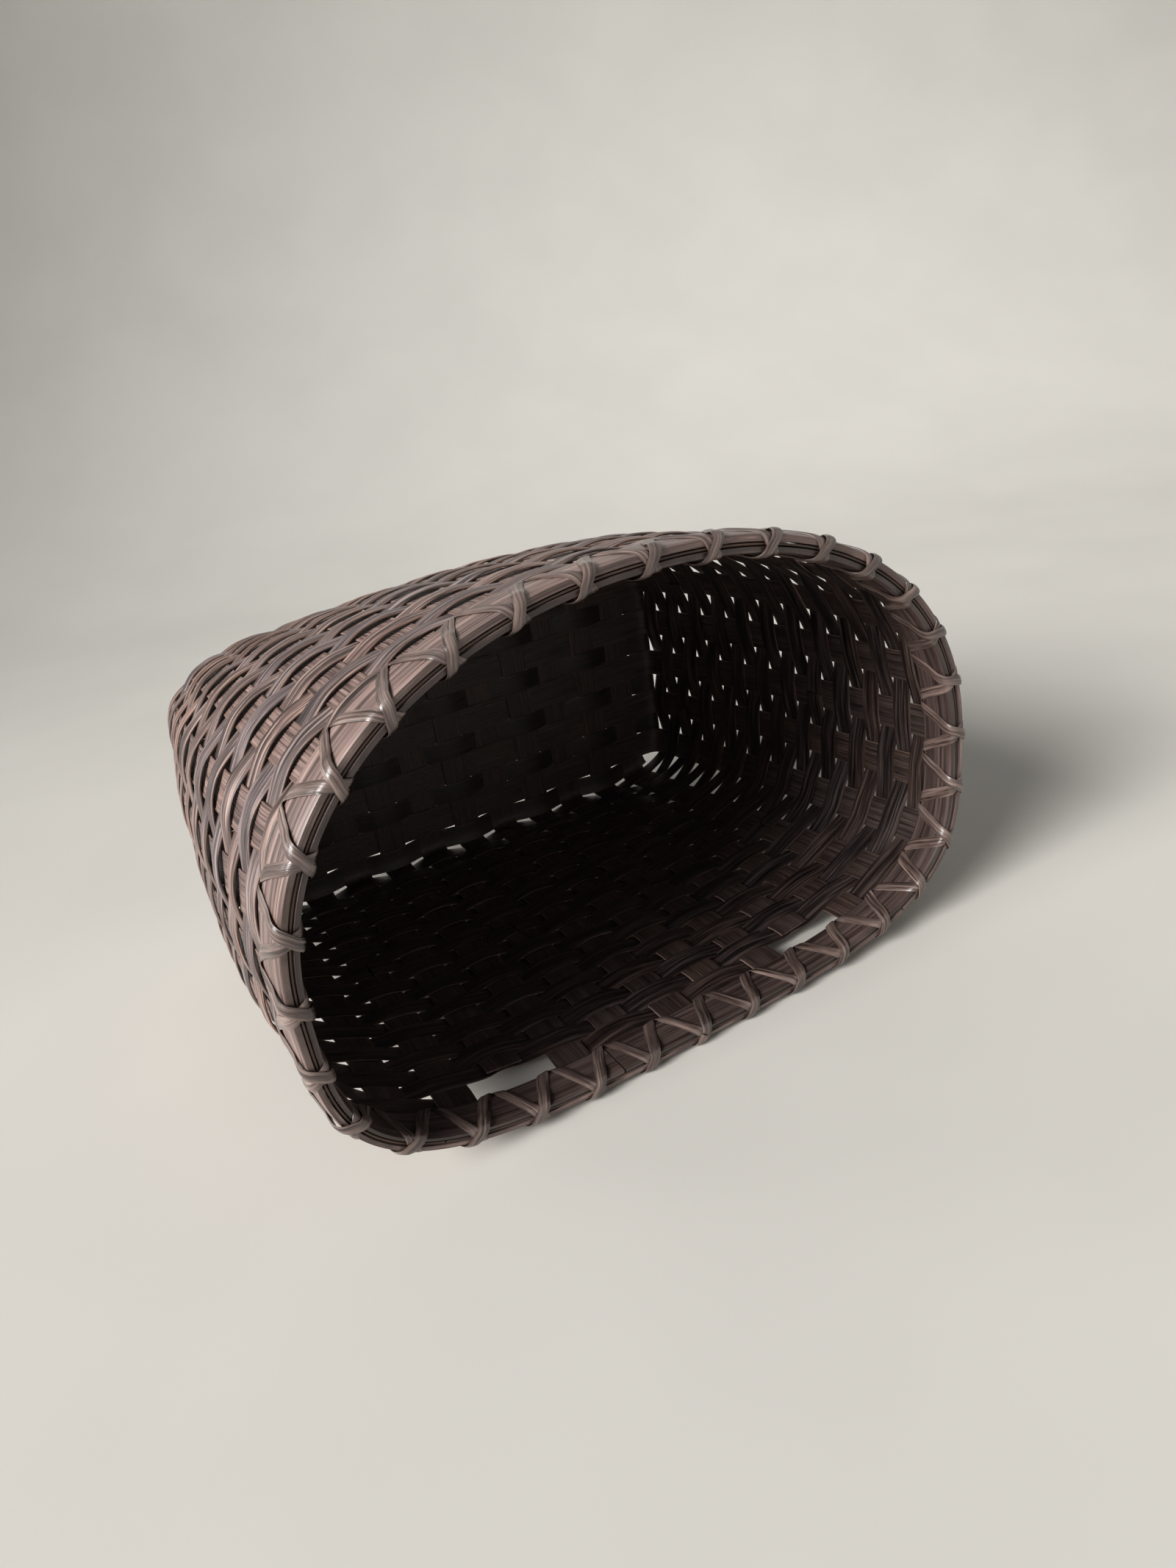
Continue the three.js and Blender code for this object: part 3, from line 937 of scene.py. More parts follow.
@dataclass
class Stakes(SubAssembly):
    """The flat stakes, from the rim down a wall, across the base and up the wall opposite."""

    width: float = 16.0
    thickness: float = 1.0
    end_depth: float = 4.0
    slot_depth: float = 31.1
    deep_slot_depth: float = 33.6
    slot_station: int = 3
    layer_step: float = 1.05
    point_step: float = 1.7
    foot_margin: float = 4.0
    sway: float = 0.5
    sway_start: float = 20.0
    sway_fade: tuple[float, float] = (12.0, 14.0)
    bend_rise: float = 3.0
    bend_in: tuple[float, float] = (2.6, 9.0)
    base_step: float = 6.0
    ridges: int = 12
    ridge_relief: float = 0.2
    segments: tuple[int, int] = (20, 15)
    cross_count: int = 5
    grain_shift: float = 400.0

    def wall_line(self, station: int, end_depth: float) -> tuple[Array, Array]:
        """Give a stake's line down a wall, pushed in and out by the rows.

        Args:
            station: Count of the stake from the middle of the back.
            end_depth: Depth of its end below the mouth.

        Returns:
            Points and facings, one row for each.
        """
        wall = self.wall
        depths = np.arange(end_depth, wall.foot_depth - self.foot_margin, self.point_step)
        flat, normal = wall.flat_frame(station, depths)
        row = 1 + (depths - wall.row_depth(1)) / wall.row_pitch
        fade_in, fade_out = self.sway_fade
        fade = np.clip((depths - self.sway_start) / fade_in, 0, 1)
        fade *= np.clip((wall.foot_depth - depths) / fade_out, 0, 1)
        sway = self.sway * np.cos(np.pi * (station + row)) * fade
        return wall.place(flat + normal * sway[:, None], depths), in_frame(normal)

    def corner(self, station: int, layer: float) -> tuple[Array, Array]:
        """Give the control points of the bend from a wall into the base.

        Args:
            station: Count of the stake from the middle of the back.
            layer: Depth of the stake below the middle of the base.

        Returns:
            Points and facings, one row for each.
        """
        wall = self.wall
        station %= wall.stations
        flat = wall.foot[station] - np.outer((0.0, *self.bend_in), wall.foot_run[station])
        depths = wall.height + np.array([-self.bend_rise, layer, layer])
        side = in_frame(wall.foot_normal[station])
        return wall.place(flat, depths), np.array([side, unit(side + DOWN_WALL), DOWN_WALL])

    def way(self, start: int, end: int, layer: float, start_depth: float) -> Way:
        """Give the whole way of a stake from one end to the other.

        Args:
            start: Station of its first end.
            end: Station of its other end.
            layer: Depth of the stake below the middle of the base.
            start_depth: Depth of its first end below the mouth.

        Returns:
            The way.
        """
        down, down_face = self.wall_line(start, start_depth)
        turn, turn_face = self.corner(start, layer)
        rise, rise_face = self.corner(end, layer)
        up, up_face = self.wall_line(end, self.end_depth)
        inner, outer = turn[-1], rise[-1]
        count = max(int(np.linalg.norm(outer - inner) / self.base_step), 2)
        share = np.linspace(0, 1, count)[1:-1, None]
        flat = inner + (outer - inner) * share
        points = np.vstack([down, turn, flat, rise[::-1], up[::-1]])
        face = np.vstack([down_face, turn_face, np.tile(DOWN_WALL, (len(flat), 1)), rise_face[::-1], up_face[::-1]])
        rows = rounded(np.hstack([points, face]), levels=2)
        return Way.along(rows[:, :3], rows[:, 3:])

    def build(self) -> None:
        """Model one straight stake, lay all sixteen and dress them."""
        wall, layer = self.wall, self.layer_step
        section = Section.ridged(self.width, self.thickness, self.ridges, self.ridge_relief)
        reed = StraightReed("stake", section, self.segments)
        finish = STAKE_FINISH.material()
        front = wall.stations // 2
        runs = []
        for index in range(-wall.half_long, wall.half_long + 1):
            slot_ends = {self.slot_station: self.slot_depth, -self.slot_station: self.deep_slot_depth}
            depth = slot_ends.get(index, self.end_depth)
            lift = -layer if index % 2 == 0 else layer
            runs.append((f"long_stake_{index + wall.half_long + 1:02d}", -index, front + index, lift, depth))
        for index in range(self.cross_count):
            station = wall.half_long + 1 + index
            name = f"cross_stake_{index + 1:02d}"
            runs.append((name, station, wall.stations - station, 0.0, self.end_depth))
        for name, start, end, lift, depth in runs:
            self.lay(reed, name, self.way(start, end, lift, depth), finish, Slot.STAKE)
        reed.discard()


@dataclass
class BaseFillers(SubAssembly):
    """Narrow strips of thin reed that fill the base between the cross stakes."""

    width: float = 11.6
    thickness: float = 0.9
    lift: float = 2.05
    stake_half: float = 8.0
    flat_tail: float = 3.0
    back_drop: float = 1.2
    back_width: float = 1.08
    back_curl: float = 2.0
    back_trim: float = 0.9
    ripple: tuple[float, ...] = (-6.0, 0.0, 6.0)
    tail: float = 2.0
    turn_start: tuple[float, float, float] = (2.5, 0.7, 0.3)
    turn_up: tuple[tuple[float, float, float], ...] = ((0.6, -0.5, 0.3), (0.4, -3.2, 0.0))
    end_width: float = 1.16
    end_run: float = 8.0
    squareness: float = 3.2
    corners: int = 14
    segments: tuple[int, int] = (16, 10)
    reaches: tuple[int, ...] = (5, 5, 5, 5, 5, 4)
    grain_shift: float = 400.0

    def end(self, side: float, turned_up: bool, reach: int) -> list[tuple[float, ...]]:
        """Give the control rows of an end, outwards from its last stake.

        Args:
            side: Side of the basket, -1 or 1.
            turned_up: Whether the end turns up along the side wall.
            reach: Count of the last stake that the filler passes.

        Returns:
            Rows of place across, depth below the base and facing across and down.
        """
        lift = -self.lift if reach % 2 == 0 else self.lift
        edge = reach * self.wall.long_pitch + self.stake_half
        if not turned_up:
            return [(side * (edge + self.flat_tail), lift, 0.0, 1.0)]
        wall = self.wall.base.half_width
        start_in, start_lift, start_face = self.turn_start
        rows = [(side * (edge + self.tail), lift, 0.0, 1.0),
                (side * (wall - start_in), lift * start_lift, side * start_face, 1.0)]
        return rows + [(side * (wall - inward), depth, side, down) for inward, depth, down in self.turn_up]

    def way(self, height: float, reach: int, turned_up: bool, at_back: bool) -> Way:
        """Give the way of a filler, over and under the long stakes.

        Args:
            height: Height of its middle over the back.
            reach: Count of the last stake that it passes on each side.
            turned_up: Whether its ends turn up along the side walls.
            at_back: Whether it lies at the back edge, whose outline it then follows.

        Returns:
            The way.
        """
        wall = self.wall
        rows = self.end(-1.0, turned_up, reach)[::-1]
        for stake in range(-reach, reach + 1):
            lift = -self.lift if stake % 2 == 0 else self.lift
            places = [along for along in self.ripple if not (abs(stake) == reach and along * stake > 0)]
            rows += [(stake * wall.long_pitch + along, lift, 0.0, 1.0) for along in places]
        rows += self.end(1.0, turned_up, reach)
        smooth = rounded(np.array(rows), levels=3)
        zeros = np.zeros(len(smooth))
        half = zeros + self.width / 2 * (self.back_width if at_back else 1.0)
        if turned_up:
            last = reach * wall.long_pitch + self.stake_half
            half *= np.interp(np.abs(smooth[:, 0]), [last, last + self.end_run], [1.0, self.end_width])
        low, high = height - half, height + half
        if at_back:
            edge = np.array([wall.base.height_at(across, False) for across in smooth[:, 0]])
            low = np.maximum(low, edge + self.back_trim)
        flat = np.column_stack([smooth[:, 0], (low + high) / 2])
        return Way.along(wall.place(flat, wall.height + smooth[:, 1]),
                         np.column_stack([smooth[:, 2], smooth[:, 3], zeros]), (high - low) / self.width,
                         curl=self.back_curl if at_back else 0.0)

    def build(self) -> None:
        """Model one straight filler, lay all six and dress them."""
        section = Section.oval(self.width, self.thickness / 2, self.thickness / 2, self.squareness, self.corners)
        reed = StraightReed("filler", section, self.segments)
        finish = BASE_FINISH.material()
        for index, reach in enumerate(self.reaches):
            at_back = index == 0
            turned_up = not at_back and index < len(self.reaches) - 1
            height = self.wall.cross_height(index) - self.wall.cross_pitch / 2 - (self.back_drop if at_back else 0)
            way = self.way(height, reach, turned_up, at_back)
            self.lay(reed, f"base_filler_{index + 1:02d}", way, finish, Slot.BASE)
        reed.discard()


@dataclass
class Weavers(SubAssembly):
    """Rows of flat-oval reed that pass outside one stake and inside the next."""

    width: float = 10.3
    crown: float = 0.75
    back: float = 0.5
    outside: float = 2.0
    inside: float = 1.25
    outside_half_span: float = 7.0
    inside_half_span: float = 6.5
    outside_width: float = 0.74
    inside_width: float = 1.08
    gap_width: float = 1.06
    tight_width: float = 1.05
    tight_back: int = 5
    shut_width: float = 1.11
    shut_back: int = 3
    tight_rows: int = 4
    tight_arch: int = 8
    tight_inside: float = 0.8
    tight_outside: float = 1.45
    corner_stakes: tuple[int, int] = (5, 6)
    corner_opening: float = 0.23
    corner_rows: int = 9
    corner_fade: int = 4
    slot_bow: dict[int, float] = field(default_factory=lambda: {2: 3.4, 3: 1.8, 4: 0.7})
    first_row_rise: float = 2.4
    slot_row_rise: float = 1.4
    raised_rows: int = 6
    rise_fade: int = 3
    end_room: float = 1.0
    end_gap: float = 0.8
    tuck: float = 6.0
    joint_step: int = 3
    slot_station: int = 3
    depth_spread: float = 0.16
    out_spread: float = 0.12
    turn_spread: float = 0.035
    lean_reach: float = 4.0
    squareness: float = 2.8
    corners: int = 16
    segments: tuple[int, int] = (20, 20)
    short_segments: tuple[int, int] = (10, 6)

    def passes_outside(self, station: int, row: int) -> bool:
        """Say whether a row passes outside a stake."""
        return (station + row) % 2 == 1

    def rise(self, row: int, from_back: int) -> float:
        """Give how far a row near the rim is pushed up, which is less beside the hanging slots.

        Args:
            row: Number of the row, from the rim.
            from_back: Count of the stake from the middle of the back, on either side.

        Returns:
            The distance.
        """
        beside = min(1.0, max(0.0, (from_back - self.slot_station - 1) / self.rise_fade))
        if row == 1:
            return self.slot_row_rise + (self.first_row_rise - self.slot_row_rise) * beside
        return self.first_row_rise * max(0.0, 1 - (row - 1) / self.raised_rows) * beside

    def gap_widths(self, row: int, from_back: int) -> tuple[float, float]:
        """Give the width shares of a row in the gaps beside a stake, which open at the base corners.

        Args:
            row: Number of the row, from the rim.
            from_back: Count of the stake from the middle of the back, on either side.

        Returns:
            The shares in the gap towards the back and in the gap away from it.
        """
        tight = self.tight_width if from_back <= self.tight_back or row <= self.raised_rows else 1.0
        gap = self.gap_width * (self.shut_width if from_back <= self.shut_back else tight)
        if from_back not in self.corner_stakes:
            return gap, gap
        opened = min(1.0, max(0.0, (self.corner_rows - (self.wall.rows - row)) / self.corner_fade))
        narrowed = gap * (1 - self.corner_opening * opened)
        return narrowed, narrowed if from_back == self.corner_stakes[0] else gap

    def controls(self, row: int, station: int, first: float | None, last: float | None) -> list[Array]:
        """Give the control rows of a weaver at one stake.

        Args:
            row: Number of the row, from the rim.
            station: Count of the stake.
            first: Place along the stake where the strip begins here, or None.
            last: Place along the stake where the strip ends here, or None.

        Returns:
            Rows of place, width direction, outward direction and width share.
        """
        wall, outside = self.wall, self.passes_outside(station, row)
        span = self.outside_half_span if outside else self.inside_half_span
        station %= wall.stations
        past_front = station - wall.stations // 2
        arch = row <= self.tight_rows and abs(past_front) <= self.tight_arch
        clear = self.tight_outside if arch and past_front > 1 and row > 1 else self.outside
        offset = clear if outside else -(self.tight_inside if arch else self.inside)
        wide = self.outside_width if outside else self.inside_width
        from_back = min(station, wall.stations - station)
        depth = wall.row_depth(row) + self.chance.normal(0, self.depth_spread) - self.rise(row, from_back)
        if station == self.slot_station:
            depth += self.slot_bow.get(row, 0.0)
        offset += self.chance.normal(0, self.out_spread)
        turn = self.chance.normal(0, self.turn_spread)
        widths = self.gap_widths(row, from_back)
        before, after = widths if past_front < 0 else widths[::-1]
        places = [(-span, before), (0.0, wide), (span, after)]
        if first is not None:
            places = [(first, wide)] + [place for place in places if place[0] > first + self.end_room]
        if last is not None:
            places = [place for place in places if place[0] < last - self.end_room] + [(last, wide)]
        depths = depth + self.lean_reach * np.array([-1.0, 0.0, 1.0])
        flat, normal = wall.flat_frame(station, depths)
        line = wall.place(flat, depths)
        out = in_frame(normal[1])
        tangent = np.cross(DOWN_WALL, out)
        across = unit(line[2] - line[0]) + out * turn
        return [np.concatenate([line[1] + out * offset + tangent * along, across, out, [share]])
                for along, share in places]

    def way(self, row: int, start: int, first: float, end: int, last: float) -> Way:
        """Give the way of a strip from a place on one stake to a place on another.

        Args:
            row: Number of the row, from the rim.
            start: Station of the first stake.
            first: Place on it where the strip begins.
            end: Station of the last stake.
            last: Place on it where the strip ends.

        Returns:
            The way.
        """
        controls = []
        for station in range(start, end + 1):
            controls += self.controls(row, station, first if station == start else None,
                                      last if station == end else None)
        rows = rounded(np.array(controls), levels=2)
        run = unit(np.gradient(rows[:, :3], axis=0))
        face = unit(np.cross(rows[:, 3:6], run))
        face *= np.sign(np.sum(face * rows[:, 6:9], axis=1, keepdims=True))
        return Way.along(rows[:, :3], face, rows[:, 9])

    def build(self) -> None:
        """Model one straight weaver, lay every row and dress them."""
        wall = self.wall
        section = Section.oval(self.width, self.crown, self.back, self.squareness, self.corners)
        reed = StraightReed("weaver", section, self.segments)
        short = StraightReed("short_weaver", section, self.short_segments)
        finish = WEAVER_FINISH.material()
        beside = self.slot_station + 1
        inner = self.slot_station - 1
        runs = [("slot_row_front", reed, 1, beside, -self.tuck, wall.stations - beside, self.tuck),
                ("slot_row_back", short, 1, -inner, -self.tuck, inner, self.tuck)]
        for row in range(2, wall.rows + 1):
            near = self.joint_step * row
            joint = near + 1 if self.passes_outside(near, row) else near
            half = self.end_gap / 2
            runs.append((f"weaver_row_{row:02d}", reed, row, joint, half, joint + wall.stations, -half))
        for name, pattern, row, start, first, end, last in runs:
            self.lay(pattern, name, self.way(row, start, first, end, last), finish, Slot.WEAVER)
        reed.discard()
        short.discard()


@dataclass
class Rim(SubAssembly):
    """Outer and inner bands with the filler between them, round the mouth."""

    height: float = 17.5
    outer_seat: float = 1.1
    outer_face: float = 4.4
    outer_back_face: float = 3.5
    inner_seat: float = 0.7
    inner_face: float = 3.5
    inner_back_face: float = 2.4
    arch_start: tuple[float, float] = (5.0, 9.0)
    filler_middle: float = 0.2
    filler_half: float = 0.5
    filler_height: float = 3.4
    filler_top: float = 0.3
    end_gap: float = 0.8
    outer_joint: float = -4.5
    inner_joint: float = 1.5
    filler_joint: float = 4.5
    pitch: float = 26.0
    points: int = 600
    lean_reach: float = 3.0
    filler_squareness: float = 4.0
    filler_corners: int = 12
    segments: tuple[int, int] = (24, 20)

    def face_at(self, places: Array, outwards: bool) -> Array:
        """Give how far a band's face stands off the stakes, which is less along the back than on the arch.

        Args:
            places: Places counted in stations.
            outwards: Whether it is the outer band.

        Returns:
            One distance for each place.
        """
        round_rim = np.mod(places, self.wall.stations)
        from_back = np.minimum(round_rim, self.wall.stations - round_rim)
        start, full = self.arch_start
        back, arch = ((self.outer_back_face, self.outer_face) if outwards
                      else (self.inner_back_face, self.inner_face))
        return back + (arch - back) * np.clip((from_back - start) / (full - start), 0, 1)

    def way(self, joint: float, out: float, depth: float, is_band: bool) -> Way:
        """Give the way of a strip round the rim, from its joint to its joint.

        Args:
            joint: Place of the joint, counted in stations.
            out: Distance outward from the middle of the stakes.
            depth: Depth of its middle below the mouth.
            is_band: Whether it is a band, whose thickness changes round the rim.

        Returns:
            The way.
        """
        wall = self.wall
        gap = self.end_gap / 2 / self.pitch
        places = np.linspace(joint + gap, joint + wall.stations - gap, self.points)
        ones = np.ones(len(places))
        points, normal = wall.rim_way(places, out * ones, depth * ones)
        low, _ = wall.rim_way(places, out * ones, (depth + self.lean_reach) * ones)
        high, _ = wall.rim_way(places, out * ones, (depth - self.lean_reach) * ones)
        run = unit(np.gradient(points, axis=0))
        face = unit(np.cross(low - high, run))
        face *= np.sign(np.sum(face * normal, axis=1, keepdims=True))
        seat, arch = abs(out), self.outer_face if out > 0 else self.inner_face
        thick = (self.face_at(places, out > 0) - seat) / (arch - seat) if is_band else None
        return Way.along(points, face, thick=thick)

    @staticmethod
    def band(height: float, thickness: float, outwards: bool) -> Section:
        """Give the section of a band: flat on the stakes, with a round shoulder towards the mouth.

        Args:
            height: Height of the band.
            thickness: Thickness of the band.
            outwards: Whether it is the outer band.

        Returns:
            The section.
        """
        half, inset = height / 2, 0.4
        shoulder = [(1.0, 0.05), (1.0, 0.4), (1.0, 0.72), (0.9, 0.85), (0.74, 0.94), (0.5, 1.0), (0.2, 1.02)]
        foot = [(-0.2, 1.03), (-0.6, 1.02), (-0.88, 0.99), (-0.97, 0.9), (-1.0, 0.7), (-1.0, 0.05)]
        loop = [(-across * half, out) for across, out in shoulder + foot]
        loop += [(half - inset, 0.0), (inset - half, 0.0)]
        sign = thickness if outwards else -thickness
        return Section(tuple((across, sign * out) for across, out in loop))

    def build(self) -> None:
        """Model the three strips of the rim, lay them round the mouth and dress them."""
        finish = RIM_FINISH.material()
        dark = BASE_FINISH.material()
        middle = self.height / 2
        outer = self.band(self.height, self.outer_face - self.outer_seat, True)
        inner = self.band(self.height, self.inner_face - self.inner_seat, False)
        filler = Section.oval(self.filler_height, self.filler_half, self.filler_half, self.filler_squareness,
                              self.filler_corners)
        filler_depth = self.filler_top + self.filler_height / 2
        for name, section, joint, out, depth, material in (
                ("rim_outer_band", outer, self.outer_joint, self.outer_seat, middle, finish),
                ("rim_inner_band", inner, self.inner_joint, -self.inner_seat, middle, finish),
                ("rim_filler", filler, self.filler_joint, self.filler_middle, filler_depth, dark)):
            reed = StraightReed(name, section, self.segments)
            self.lay(reed, name, self.way(joint, out, depth, section is not filler), material, Slot.RIM)
            reed.discard()


@dataclass
class Lashing(SubAssembly):
    """Two strands of cane wound opposite ways, which cross on the rim over every stake."""

    width: float = 4.7
    crown: float = 0.6
    back: float = 0.25
    rim: Rim | None = None
    seat: float = 0.35
    over: float = 0.95
    steps: int = 64
    loop_points: int = 721
    slope: float = 0.001
    top_square: float = 4.0
    foot_square: float = 6.0
    flare: float = 0.1
    crossing_flare: float = 0.25
    over_top: tuple[float, float] = (2.2, 0.11)
    over_gap: tuple[float, float] = (1.3, 0.09)
    spread: float = 1.04
    pinch: float = 0.16
    pinch_power: int = 8
    end_share: float = 0.985
    ridges: int = 5
    groove: float = 0.12
    edge_half: float = 0.1
    segments: tuple[int, int] = (64, 32)

    def loop(self) -> tuple[Array, Array, Array]:
        """Give one turn of cane round the rim's section.

        Returns:
            Places out from the stakes, depths, and shares of the turn, from the top over the inside.
        """
        rim = self.rim
        angle = np.linspace(0, 2 * np.pi, self.loop_points)
        sine, cosine = np.sin(angle), np.cos(angle)
        face = np.where(sine > 0, rim.inner_face, rim.outer_face) + self.seat
        square = np.where(cosine > 0, self.top_square, self.foot_square)
        out = -face * np.sign(sine) * np.abs(sine) ** (2 / square)
        half = rim.height / 2 + self.seat
        depth = rim.height / 2 - half * np.sign(cosine) * np.abs(cosine) ** (2 / square)
        run = np.concatenate([[0], np.cumsum(np.hypot(np.diff(out), np.diff(depth)))])
        return out, depth, run / run[-1]

    def turn(self, aim: Array) -> tuple[Array, Array, Array, Array]:
        """Give places on the turn of cane, and its outward direction there.

        Args:
            aim: Shares of the turn.

        Returns:
            Places out from the stakes, depths, and the two parts of the direction, outward and down.
        """
        out, depth, share = self.loop()

        def at(shares: Array) -> tuple[Array, Array]:
            """Read the turn at shares of it."""
            return np.interp(shares, share, out), np.interp(shares, share, depth)

        mine_out, mine_depth = at(aim)
        ahead, behind = at(np.mod(aim + self.slope, 1)), at(np.mod(aim - self.slope, 1))
        run_out, run_depth = ahead[0] - behind[0], ahead[1] - behind[1]
        length = np.hypot(run_out, run_depth)
        face_out, face_depth = -run_depth / length, run_out / length
        sign = np.sign(face_out * mine_out + face_depth * (mine_depth - self.rim.height / 2))
        return mine_out, mine_depth, face_out * sign, face_depth * sign

    def way(self, inside_first: bool) -> Way:
        """Give the way of a strand, turn by turn round the rim.

        Args:
            inside_first: Whether the strand runs down the inside first; the other strand passes over it.

        Returns:
            The way.
        """
        wall, rim = self.wall, self.rim
        turns = np.linspace(0, wall.stations - 1 + self.end_share, self.steps * wall.stations)
        within = np.mod(turns, 1.0)
        out, depth, face_out, face_depth = self.turn(within if inside_first else 1 - within)
        around = 2 * np.pi * turns
        flare = self.flare / 2 * np.sin(around) - self.crossing_flare / 4 * np.sin(2 * around)
        places = turns - flare / np.pi
        inner = (rim.face_at(places, False) + self.seat) / (rim.inner_face + self.seat)
        outer = (rim.face_at(places, True) + self.seat) / (rim.outer_face + self.seat)
        top, gap = np.minimum(within, 1 - within), np.abs(within - 0.5)
        over = [np.clip(start - distance / run, 0, 1)
                for distance, (start, run) in ((top, self.over_top), (gap, self.over_gap))]
        lift = (0.0 if inside_first else self.over) * np.maximum(*over)
        out = out * np.where(out < 0, inner, outer) + face_out * lift
        points, normal = wall.rim_way(places, out, depth + face_depth * lift)
        face = normal * face_out[:, None] + DOWN_WALL * face_depth[:, None]
        return Way.along(points, face, self.spread - self.pinch * np.cos(around) ** self.pinch_power)

    def section(self) -> Section:
        """Give the section of the cane: a crowned face with fine ridges, and a flat back.

        Returns:
            The section.
        """
        half, edge = self.width / 2, self.edge_half
        loop = []
        for step in range(2 * self.ridges + 1):
            across = 1 - step / self.ridges
            arch = self.crown * (1 - abs(across) ** 3) + edge
            loop.append((half * across, arch - (self.groove if step % 2 else 0.0)))
        loop += [(-half, -edge), (-half / 2, -self.back), (half / 2, -self.back), (half, -edge)]
        return Section(tuple(loop))

    def build(self) -> None:
        """Model one straight strand of cane, wind both strands and dress them."""
        finish = CANE_FINISH.material()
        cane = StraightReed("cane", self.section(), self.segments)
        for name, inside_first in (("lashing_first_strand", True), ("lashing_second_strand", False)):
            self.lay(cane, name, self.way(inside_first), finish, Slot.CANE, "cane")
        cane.discard()


# ---------------------------------------------------------------------------------------------
# Studio
# ---------------------------------------------------------------------------------------------


@dataclass(frozen=True)
class Lamp:
    """A soft square light that points at a place, in metres, watts and degrees."""

    name: str
    place: tuple[float, float, float]
    aim: tuple[float, float, float]
    size: float
    power: float
    colour: Colour
    spread: float

    def hang(self) -> None:
        """Add the light to the scene."""
        data = bpy.data.lights.new(self.name, "AREA")
        data.shape, data.size, data.energy, data.color = "SQUARE", self.size, self.power, self.colour
        data.spread = math.radians(self.spread)
        lamp = bpy.data.objects.new(self.name, data)
        bpy.context.scene.collection.objects.link(lamp)
        lamp.location = self.place
        lamp.rotation_euler = (Vector(self.aim) - Vector(self.place)).to_track_quat("-Z", "Y").to_euler()


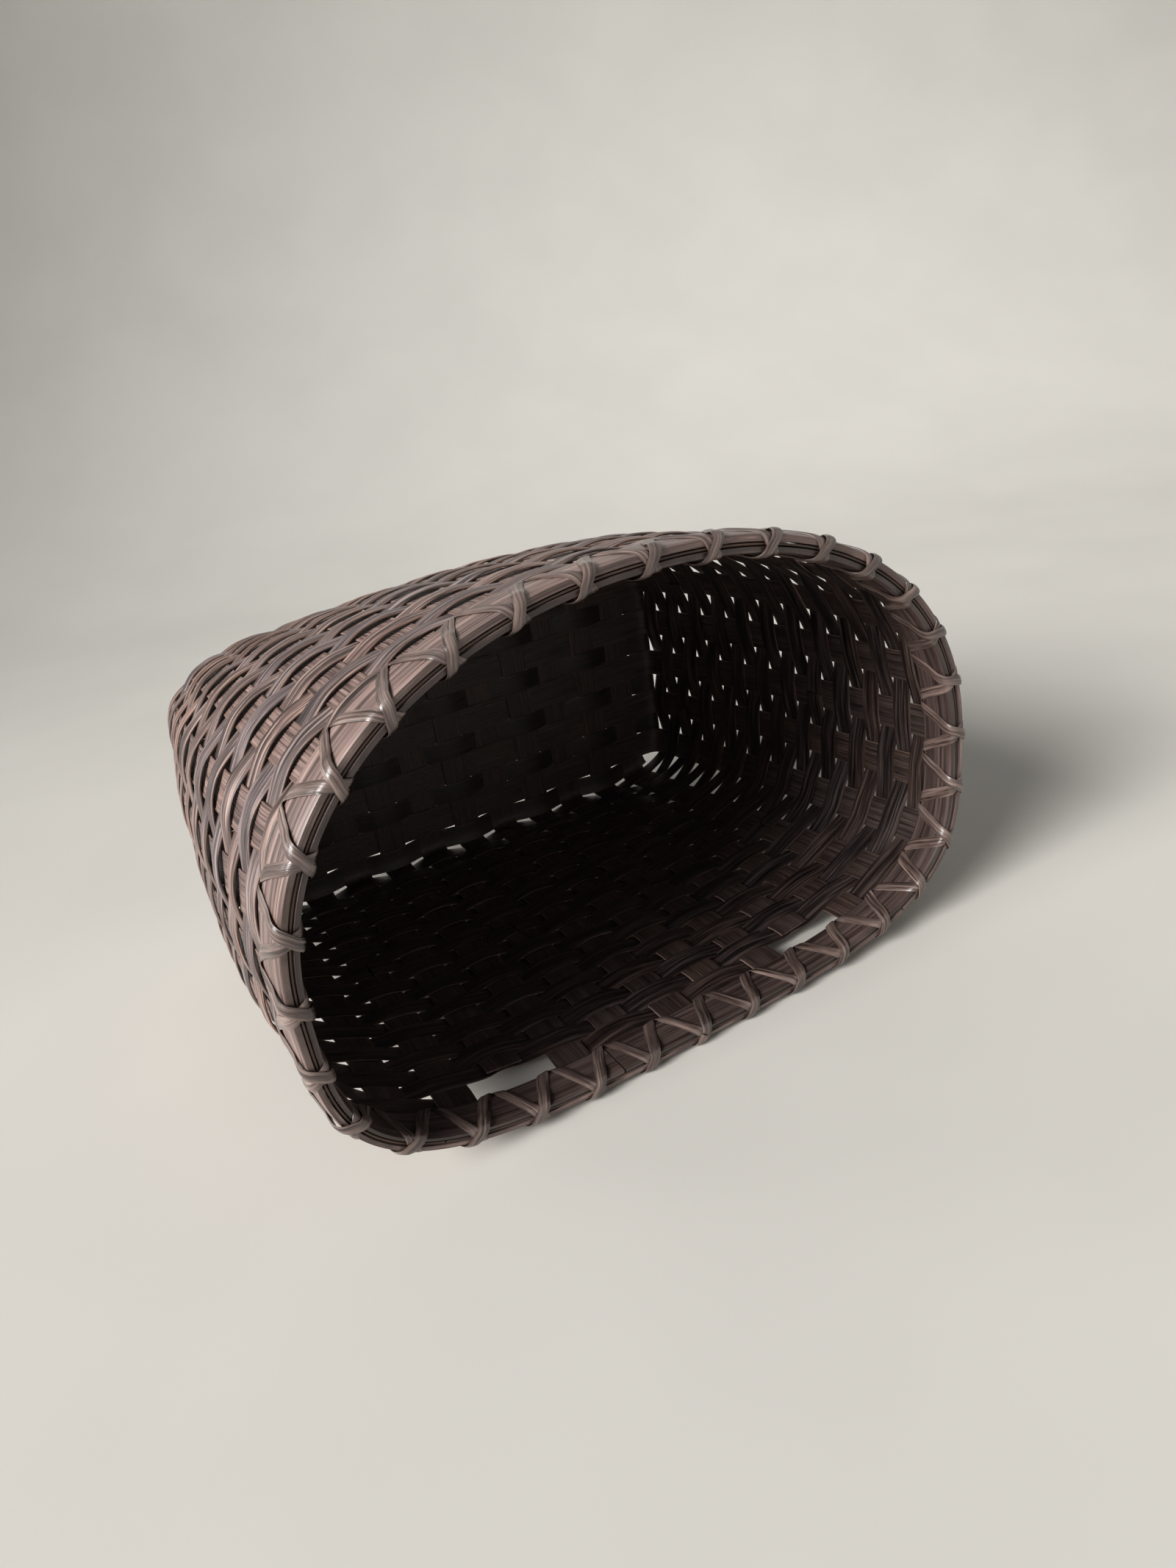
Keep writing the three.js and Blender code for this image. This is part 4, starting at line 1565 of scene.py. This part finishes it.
@dataclass
class Studio:
    """A plain pale floor with a sweep behind it, soft light and the camera."""

    focal_pixels: float = 1347.51
    image_width: int = 1600
    azimuth: float = -27.052
    elevation: float = 24.349
    roll: float = -8.700
    distance: float = 0.505
    target: tuple[float, float, float] = (0.02997, 0.00906, 0.06816)
    floor_colour: tuple[int, int, int] = (226, 223, 216)
    # floor_glow: the floor glows faintly, painted light that brightens the shaded floor seen through the gaps of the
    # basket.
    floor_glow: float = 0.015
    floor_size: float = 5.0
    sweep_distance: float = 1.7
    sweep_height: float = 2.5
    sweep_round: float = 0.9
    sweep_segments: int = 24
    mottle: float = 0.96
    mottle_scale: float = 6.0
    sky_colour: Shade = (0.93, 0.96, 1.0, 1.0)
    sky_strength: float = 0.12
    lamps: tuple[Lamp, ...] = (
        Lamp("key_light", (-4.2, -1.05, 2.6), (0.55, -0.35, 0.0), 2.6, 41.0, (1.0, 0.985, 0.965), 46),
        Lamp("side_light", (-2.6, 1.5, 0.9), (-0.15, 0.0, 0.1), 0.9, 0.5, (1.0, 0.97, 0.98), 30),
        Lamp("back_light", (0.9, 0.6, 2.1), (0.9, 1.6, 0.5), 1.4, 3.4, (0.98, 0.99, 1.0), 90),
    )

    def camera(self) -> None:
        """Set the camera at the photograph's view."""
        azimuth, elevation, roll = (math.radians(v) for v in (self.azimuth, self.elevation, self.roll))
        back = Vector((math.sin(azimuth) * math.cos(elevation), -math.cos(azimuth) * math.cos(elevation),
                       math.sin(elevation)))
        right = Vector((math.cos(azimuth), math.sin(azimuth), 0.0))
        up = back.cross(right)
        turned_right = math.cos(roll) * right + math.sin(roll) * up
        turned_up = -math.sin(roll) * right + math.cos(roll) * up
        data = bpy.data.cameras.new("camera")
        data.sensor_fit, data.sensor_width = "HORIZONTAL", 36.0
        data.lens = data.sensor_width * self.focal_pixels / self.image_width
        data.clip_start, data.clip_end = 0.01, 50.0
        camera = bpy.data.objects.new("camera", data)
        bpy.context.scene.collection.objects.link(camera)
        turn = Matrix((turned_right, turned_up, back)).transposed().to_4x4()
        camera.matrix_world = Matrix.Translation(Vector(self.target) + self.distance * back) @ turn
        bpy.context.scene.camera = camera

    def floor(self) -> None:
        """Model the floor and its sweep: a plane whose far edge is drawn up and rounded."""
        bpy.ops.object.select_all(action="DESELECT")
        bpy.ops.mesh.primitive_plane_add(size=self.floor_size)
        floor = bpy.context.object
        floor.name = "floor"
        far, near_zero = self.floor_size / 2, 0.01
        bpy.ops.object.mode_set(mode="EDIT")
        select_edges(floor.data, lambda one, two: min(one.y, two.y) > far - near_zero)
        bpy.ops.mesh.extrude_region_move(TRANSFORM_OT_translate={"value": (0, 0, self.sweep_height)})
        select_edges(floor.data, lambda one, two: min(one.y, two.y) > far - near_zero and max(one.z, two.z) < near_zero)
        bpy.ops.mesh.bevel(offset=self.sweep_round, segments=self.sweep_segments)
        bpy.ops.object.mode_set(mode="OBJECT")
        bpy.ops.object.shade_smooth()
        turn = Matrix.Rotation(math.radians(self.azimuth), 4, "Z")
        floor.data.transform(turn @ Matrix.Translation((0, self.sweep_distance - far, 0)))
        floor.data.materials.append(self.floor_material())

    def floor_material(self) -> bpy.types.Material:
        """Build the floor's finish: pale matt paint with a faint mottle, and a faint glow that lifts the shade on the
        floor under the basket.

        Returns:
            The material.
        """
        made = bpy.data.materials.new("pale_floor")
        made.use_nodes = True
        graph = Graph(made.node_tree)
        pale = linear(*self.floor_colour)
        shade = (*(channel * self.mottle for channel in pale[:3]), 1.0)
        cloud = graph.noise(graph.add("TexCoord").outputs["Object"], self.mottle_scale, 2.0, 0.5)
        shader = made.node_tree.nodes["Principled BSDF"]
        for name, value in (("Base Color", graph.ramp(cloud, [(0.35, shade), (0.65, pale)])), ("Roughness", 0.85),
                            ("Specular IOR Level", 0.2), ("Emission Color", pale),
                            ("Emission Strength", self.floor_glow)):
            graph.feed(shader.inputs[name], value)
        return made

    def light(self) -> None:
        """Hang the lamps, and give the world a faint light and a pale look."""
        for lamp in self.lamps:
            lamp.hang()
        world = bpy.data.worlds.new("studio_world")
        bpy.context.scene.world = world
        world.use_nodes = True
        graph, nodes = Graph(world.node_tree), world.node_tree.nodes
        shown = nodes["Background"]
        graph.feed(shown.inputs["Color"], linear(*self.floor_colour))
        graph.feed(shown.inputs["Strength"], 1.0)
        soft = graph.add("Background", {"Color": self.sky_colour, "Strength": self.sky_strength})
        path = graph.add("LightPath").outputs
        mirrored = graph.math("MAXIMUM", path["Is Glossy Ray"], path["Is Transmission Ray"])
        seen = graph.math("MAXIMUM", path["Is Camera Ray"], mirrored)
        mixer = graph.add("MixShader", {"Fac": seen, 1: soft.outputs[0], 2: shown.outputs[0]})
        graph.feed(nodes["World Output"].inputs["Surface"], mixer.outputs[0])

    def build(self) -> None:
        """Set the camera, the floor and the light."""
        self.camera()
        self.floor()
        self.light()
        bpy.context.scene.view_settings.view_transform = "Standard"


def main() -> None:
    """Build the studio, then the basket piece by piece, and log the pieces of each kind."""
    logging.basicConfig(level=logging.INFO, format="%(name)s %(message)s")
    chance = np.random.default_rng(SEED)
    wall = BasketWall()
    Studio().build()
    rim = Rim(wall, chance)
    assemblies = [Stakes(wall, chance), BaseFillers(wall, chance), Weavers(wall, chance), rim,
                  Lashing(wall, chance, rim=rim)]
    for assembly in assemblies:
        assembly.build()
        LOG.info("%s: %d pieces", type(assembly).__name__, len(assembly.made))


if __name__ == "__main__":
    main()
